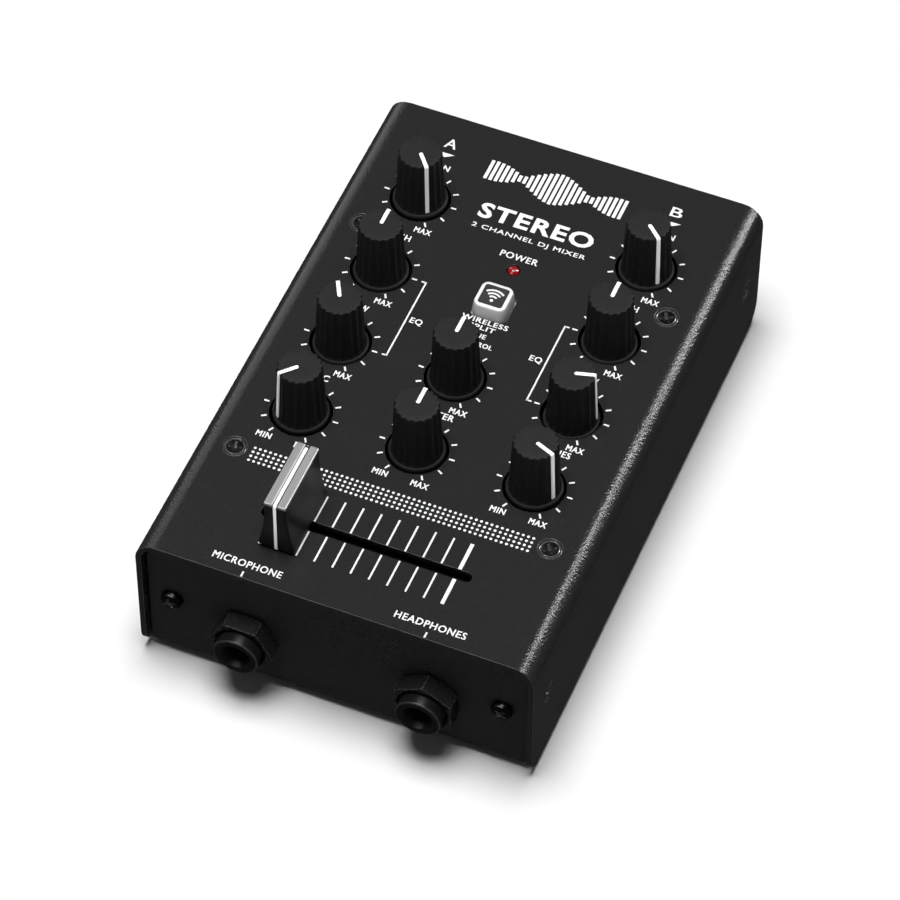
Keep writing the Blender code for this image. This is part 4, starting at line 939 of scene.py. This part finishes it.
ABOVE = {
    "gain_a": "GAIN", "high_a": "HIGH", "low_a": "LOW", "microphone": "MIC",
    "gain_b": "GAIN", "high_b": "HIGH", "low_b": "LOW", "phones": "PHONES",
}
LABELS = (  # text, centre, height, width
    ("MASTER", (0, -0.01575), 0.0021, 0.0102),
    ("SPLIT", (0, 0.0162), 0.0016, 0.0075),
    ("CUE", (0, 0.0134), 0.0016, 0.0045),
    ("CONTROL", (0, 0.0105), 0.0016, 0.0105),
    ("WIRELESS", (0, 0.0184), 0.0017, 0.0132),
    ("EQ", (-0.0169, 0.0114), 0.0023, 0.0035),
    ("EQ", (0.01725, 0.0114), 0.0023, 0.0035),
    ("POWER", (0, 0.0429), 0.0022, 0.01075),
    ("MICROPHONE", (-0.0253, -0.0799), 0.0022, 0.0191),
    ("HEADPHONES", (0.0251, -0.0799), 0.0022, 0.0195),
)
labels = bmesh.new()
for x, y in DIAL_SPOTS.values():
    lettering(labels, "MIN", (x - 0.0059, y - 0.01075), 0.0019, 0.0042)
    lettering(labels, "MAX", (x + 0.0052, y - 0.0108), 0.0019, 0.0048)
for dial, text in ABOVE.items():
    x, y = DIAL_SPOTS[dial]
    lettering(labels, text, (x, y + 0.0128), 0.0021, 0.00165 * len(text))
for text, centre, height, width in LABELS:
    lettering(labels, text, centre, height, width)
for text, x in (("A", -0.0326), ("B", 0.0334)):
    lettering(labels, text, (x, 0.0744), 0.0034, 0.0034)
    printed(labels, [(x, 0.0691), (x + 0.0025, 0.0707), (x - 0.0025, 0.0707)])
piece("printed_labels", labels, PRINT, "case", smooth=20)

title = bmesh.new()
lettering(title, "2 CHANNEL DJ MIXER", (0, 0.0494), 0.0020, 0.0328, bold=0.00004)
lettering(title, "STEREO", (0, 0.0554), 0.0056, 0.0329, weight=0.03, bold=0)
for step in range(WAVE_BARS):
    phase = (step - WAVE_BARS // 2) / (WAVE_BARS // 2)
    tall = 0.0016 + 0.0100 * abs(math.cos(3.1 * phase)) * (1 - 0.45 * abs(phase))
    x = WAVE_HALF_SPAN * phase
    bar(title, (x, WAVE_MIDDLE - tall / 2), (x, WAVE_MIDDLE + tall / 2), WAVE_BAR_WIDTH)
piece("printed_title", title, PRINT, "case", smooth=20)

REAR_LABELS = (  # text, x, z, height
    ("A", 0.036, 0.0385, 0.0022), ("B", 0.017, 0.0385, 0.0022), ("MASTER", -0.002, 0.0385, 0.0022),
    ("DC IN", -0.018, 0.0232, 0.0020), ("POWER", -0.033, 0.0232, 0.0020),
    ("L", 0.0275, 0.0312, 0.0020), ("R", 0.0275, 0.0170, 0.0020),
)
REAR_PLACE = Matrix.Translation((0, REAR_PANEL, 0)) @ BACKWARDS
rear = bmesh.new()
for text, x, z, height in REAR_LABELS:
    lettering(rear, text, (x, z), height, place=REAR_PLACE)
piece("printed_rear_labels", rear, PRINT, "case", smooth=20)


# Stage -------------------------------------------------------------------------------------------

FLOOR = surface("floor_look", (0.81, 0.81, 0.81), 0.8, specular=0.1, mottle=(3.0, 0.004))
floor_mesh = bpy.data.meshes.new("floor")
corners = [(-FLOOR_HALF, -FLOOR_HALF, 0), (FLOOR_HALF, -FLOOR_HALF, 0),
           (FLOOR_HALF, FLOOR_HALF, 0), (-FLOOR_HALF, FLOOR_HALF, 0)]
floor_mesh.from_pydata(corners, [], [(0, 1, 2, 3)])
floor_mesh.materials.append(FLOOR)
floor = bpy.data.objects.new("floor", floor_mesh)
floor.location = (0, 0, -FLOOR_GAP)
SCENE.collection.objects.link(floor)
floor.visible_glossy = False

world = bpy.data.worlds.new("studio")
world.use_nodes = True
world.node_tree.nodes["Background"].inputs["Color"].default_value = (1, 1, 1, 1)
world.node_tree.nodes["Background"].inputs["Strength"].default_value = WORLD_WHITE
SCENE.world = world


def softbox(name, place, aim, width, height, power, diffuse=True):
    """A rectangular light; without diffuse, it shows only as a reflection."""
    light = bpy.data.lights.new(name, "AREA")
    light.shape = "RECTANGLE"
    light.size = width
    light.size_y = height
    light.energy = power
    lamp = bpy.data.objects.new(name, light)
    lamp.location = place
    lamp.rotation_euler = (Vector(aim) - Vector(place)).to_track_quat("-Z", "Y").to_euler()
    lamp.visible_diffuse = diffuse
    lamp.visible_camera = False
    SCENE.collection.objects.link(lamp)


softbox("overhead", place=(-0.05, -0.03, 1.30), aim=(0, 0, 0), width=0.65, height=0.65, power=22.8)
softbox("right_strip", place=(0.70, 0.70, 0.70), aim=(0.05, 0, 0.04), width=0.07, height=1.2,
        power=28.5, diffuse=False)
softbox("left_box", place=(-0.80, 0.66, 0.50), aim=(-0.05, 0, 0.04), width=0.4, height=0.9,
        power=3.9, diffuse=False)
softbox("front_strip", place=(-0.30, -1.00, 0.75), aim=(0, 0, 0.03), width=0.9, height=0.30,
        power=9.0, diffuse=False)

camera_data = bpy.data.cameras.new("camera")
camera_data.lens = CAMERA_LENS
camera_data.sensor_width = 36.0
camera_data.clip_end = 20.0
camera = bpy.data.objects.new("camera", camera_data)
camera.location = CAMERA_PLACE
camera.rotation_euler = [math.radians(angle) for angle in CAMERA_TURN]
SCENE.collection.objects.link(camera)
SCENE.camera = camera
SCENE.view_settings.view_transform = "Standard"
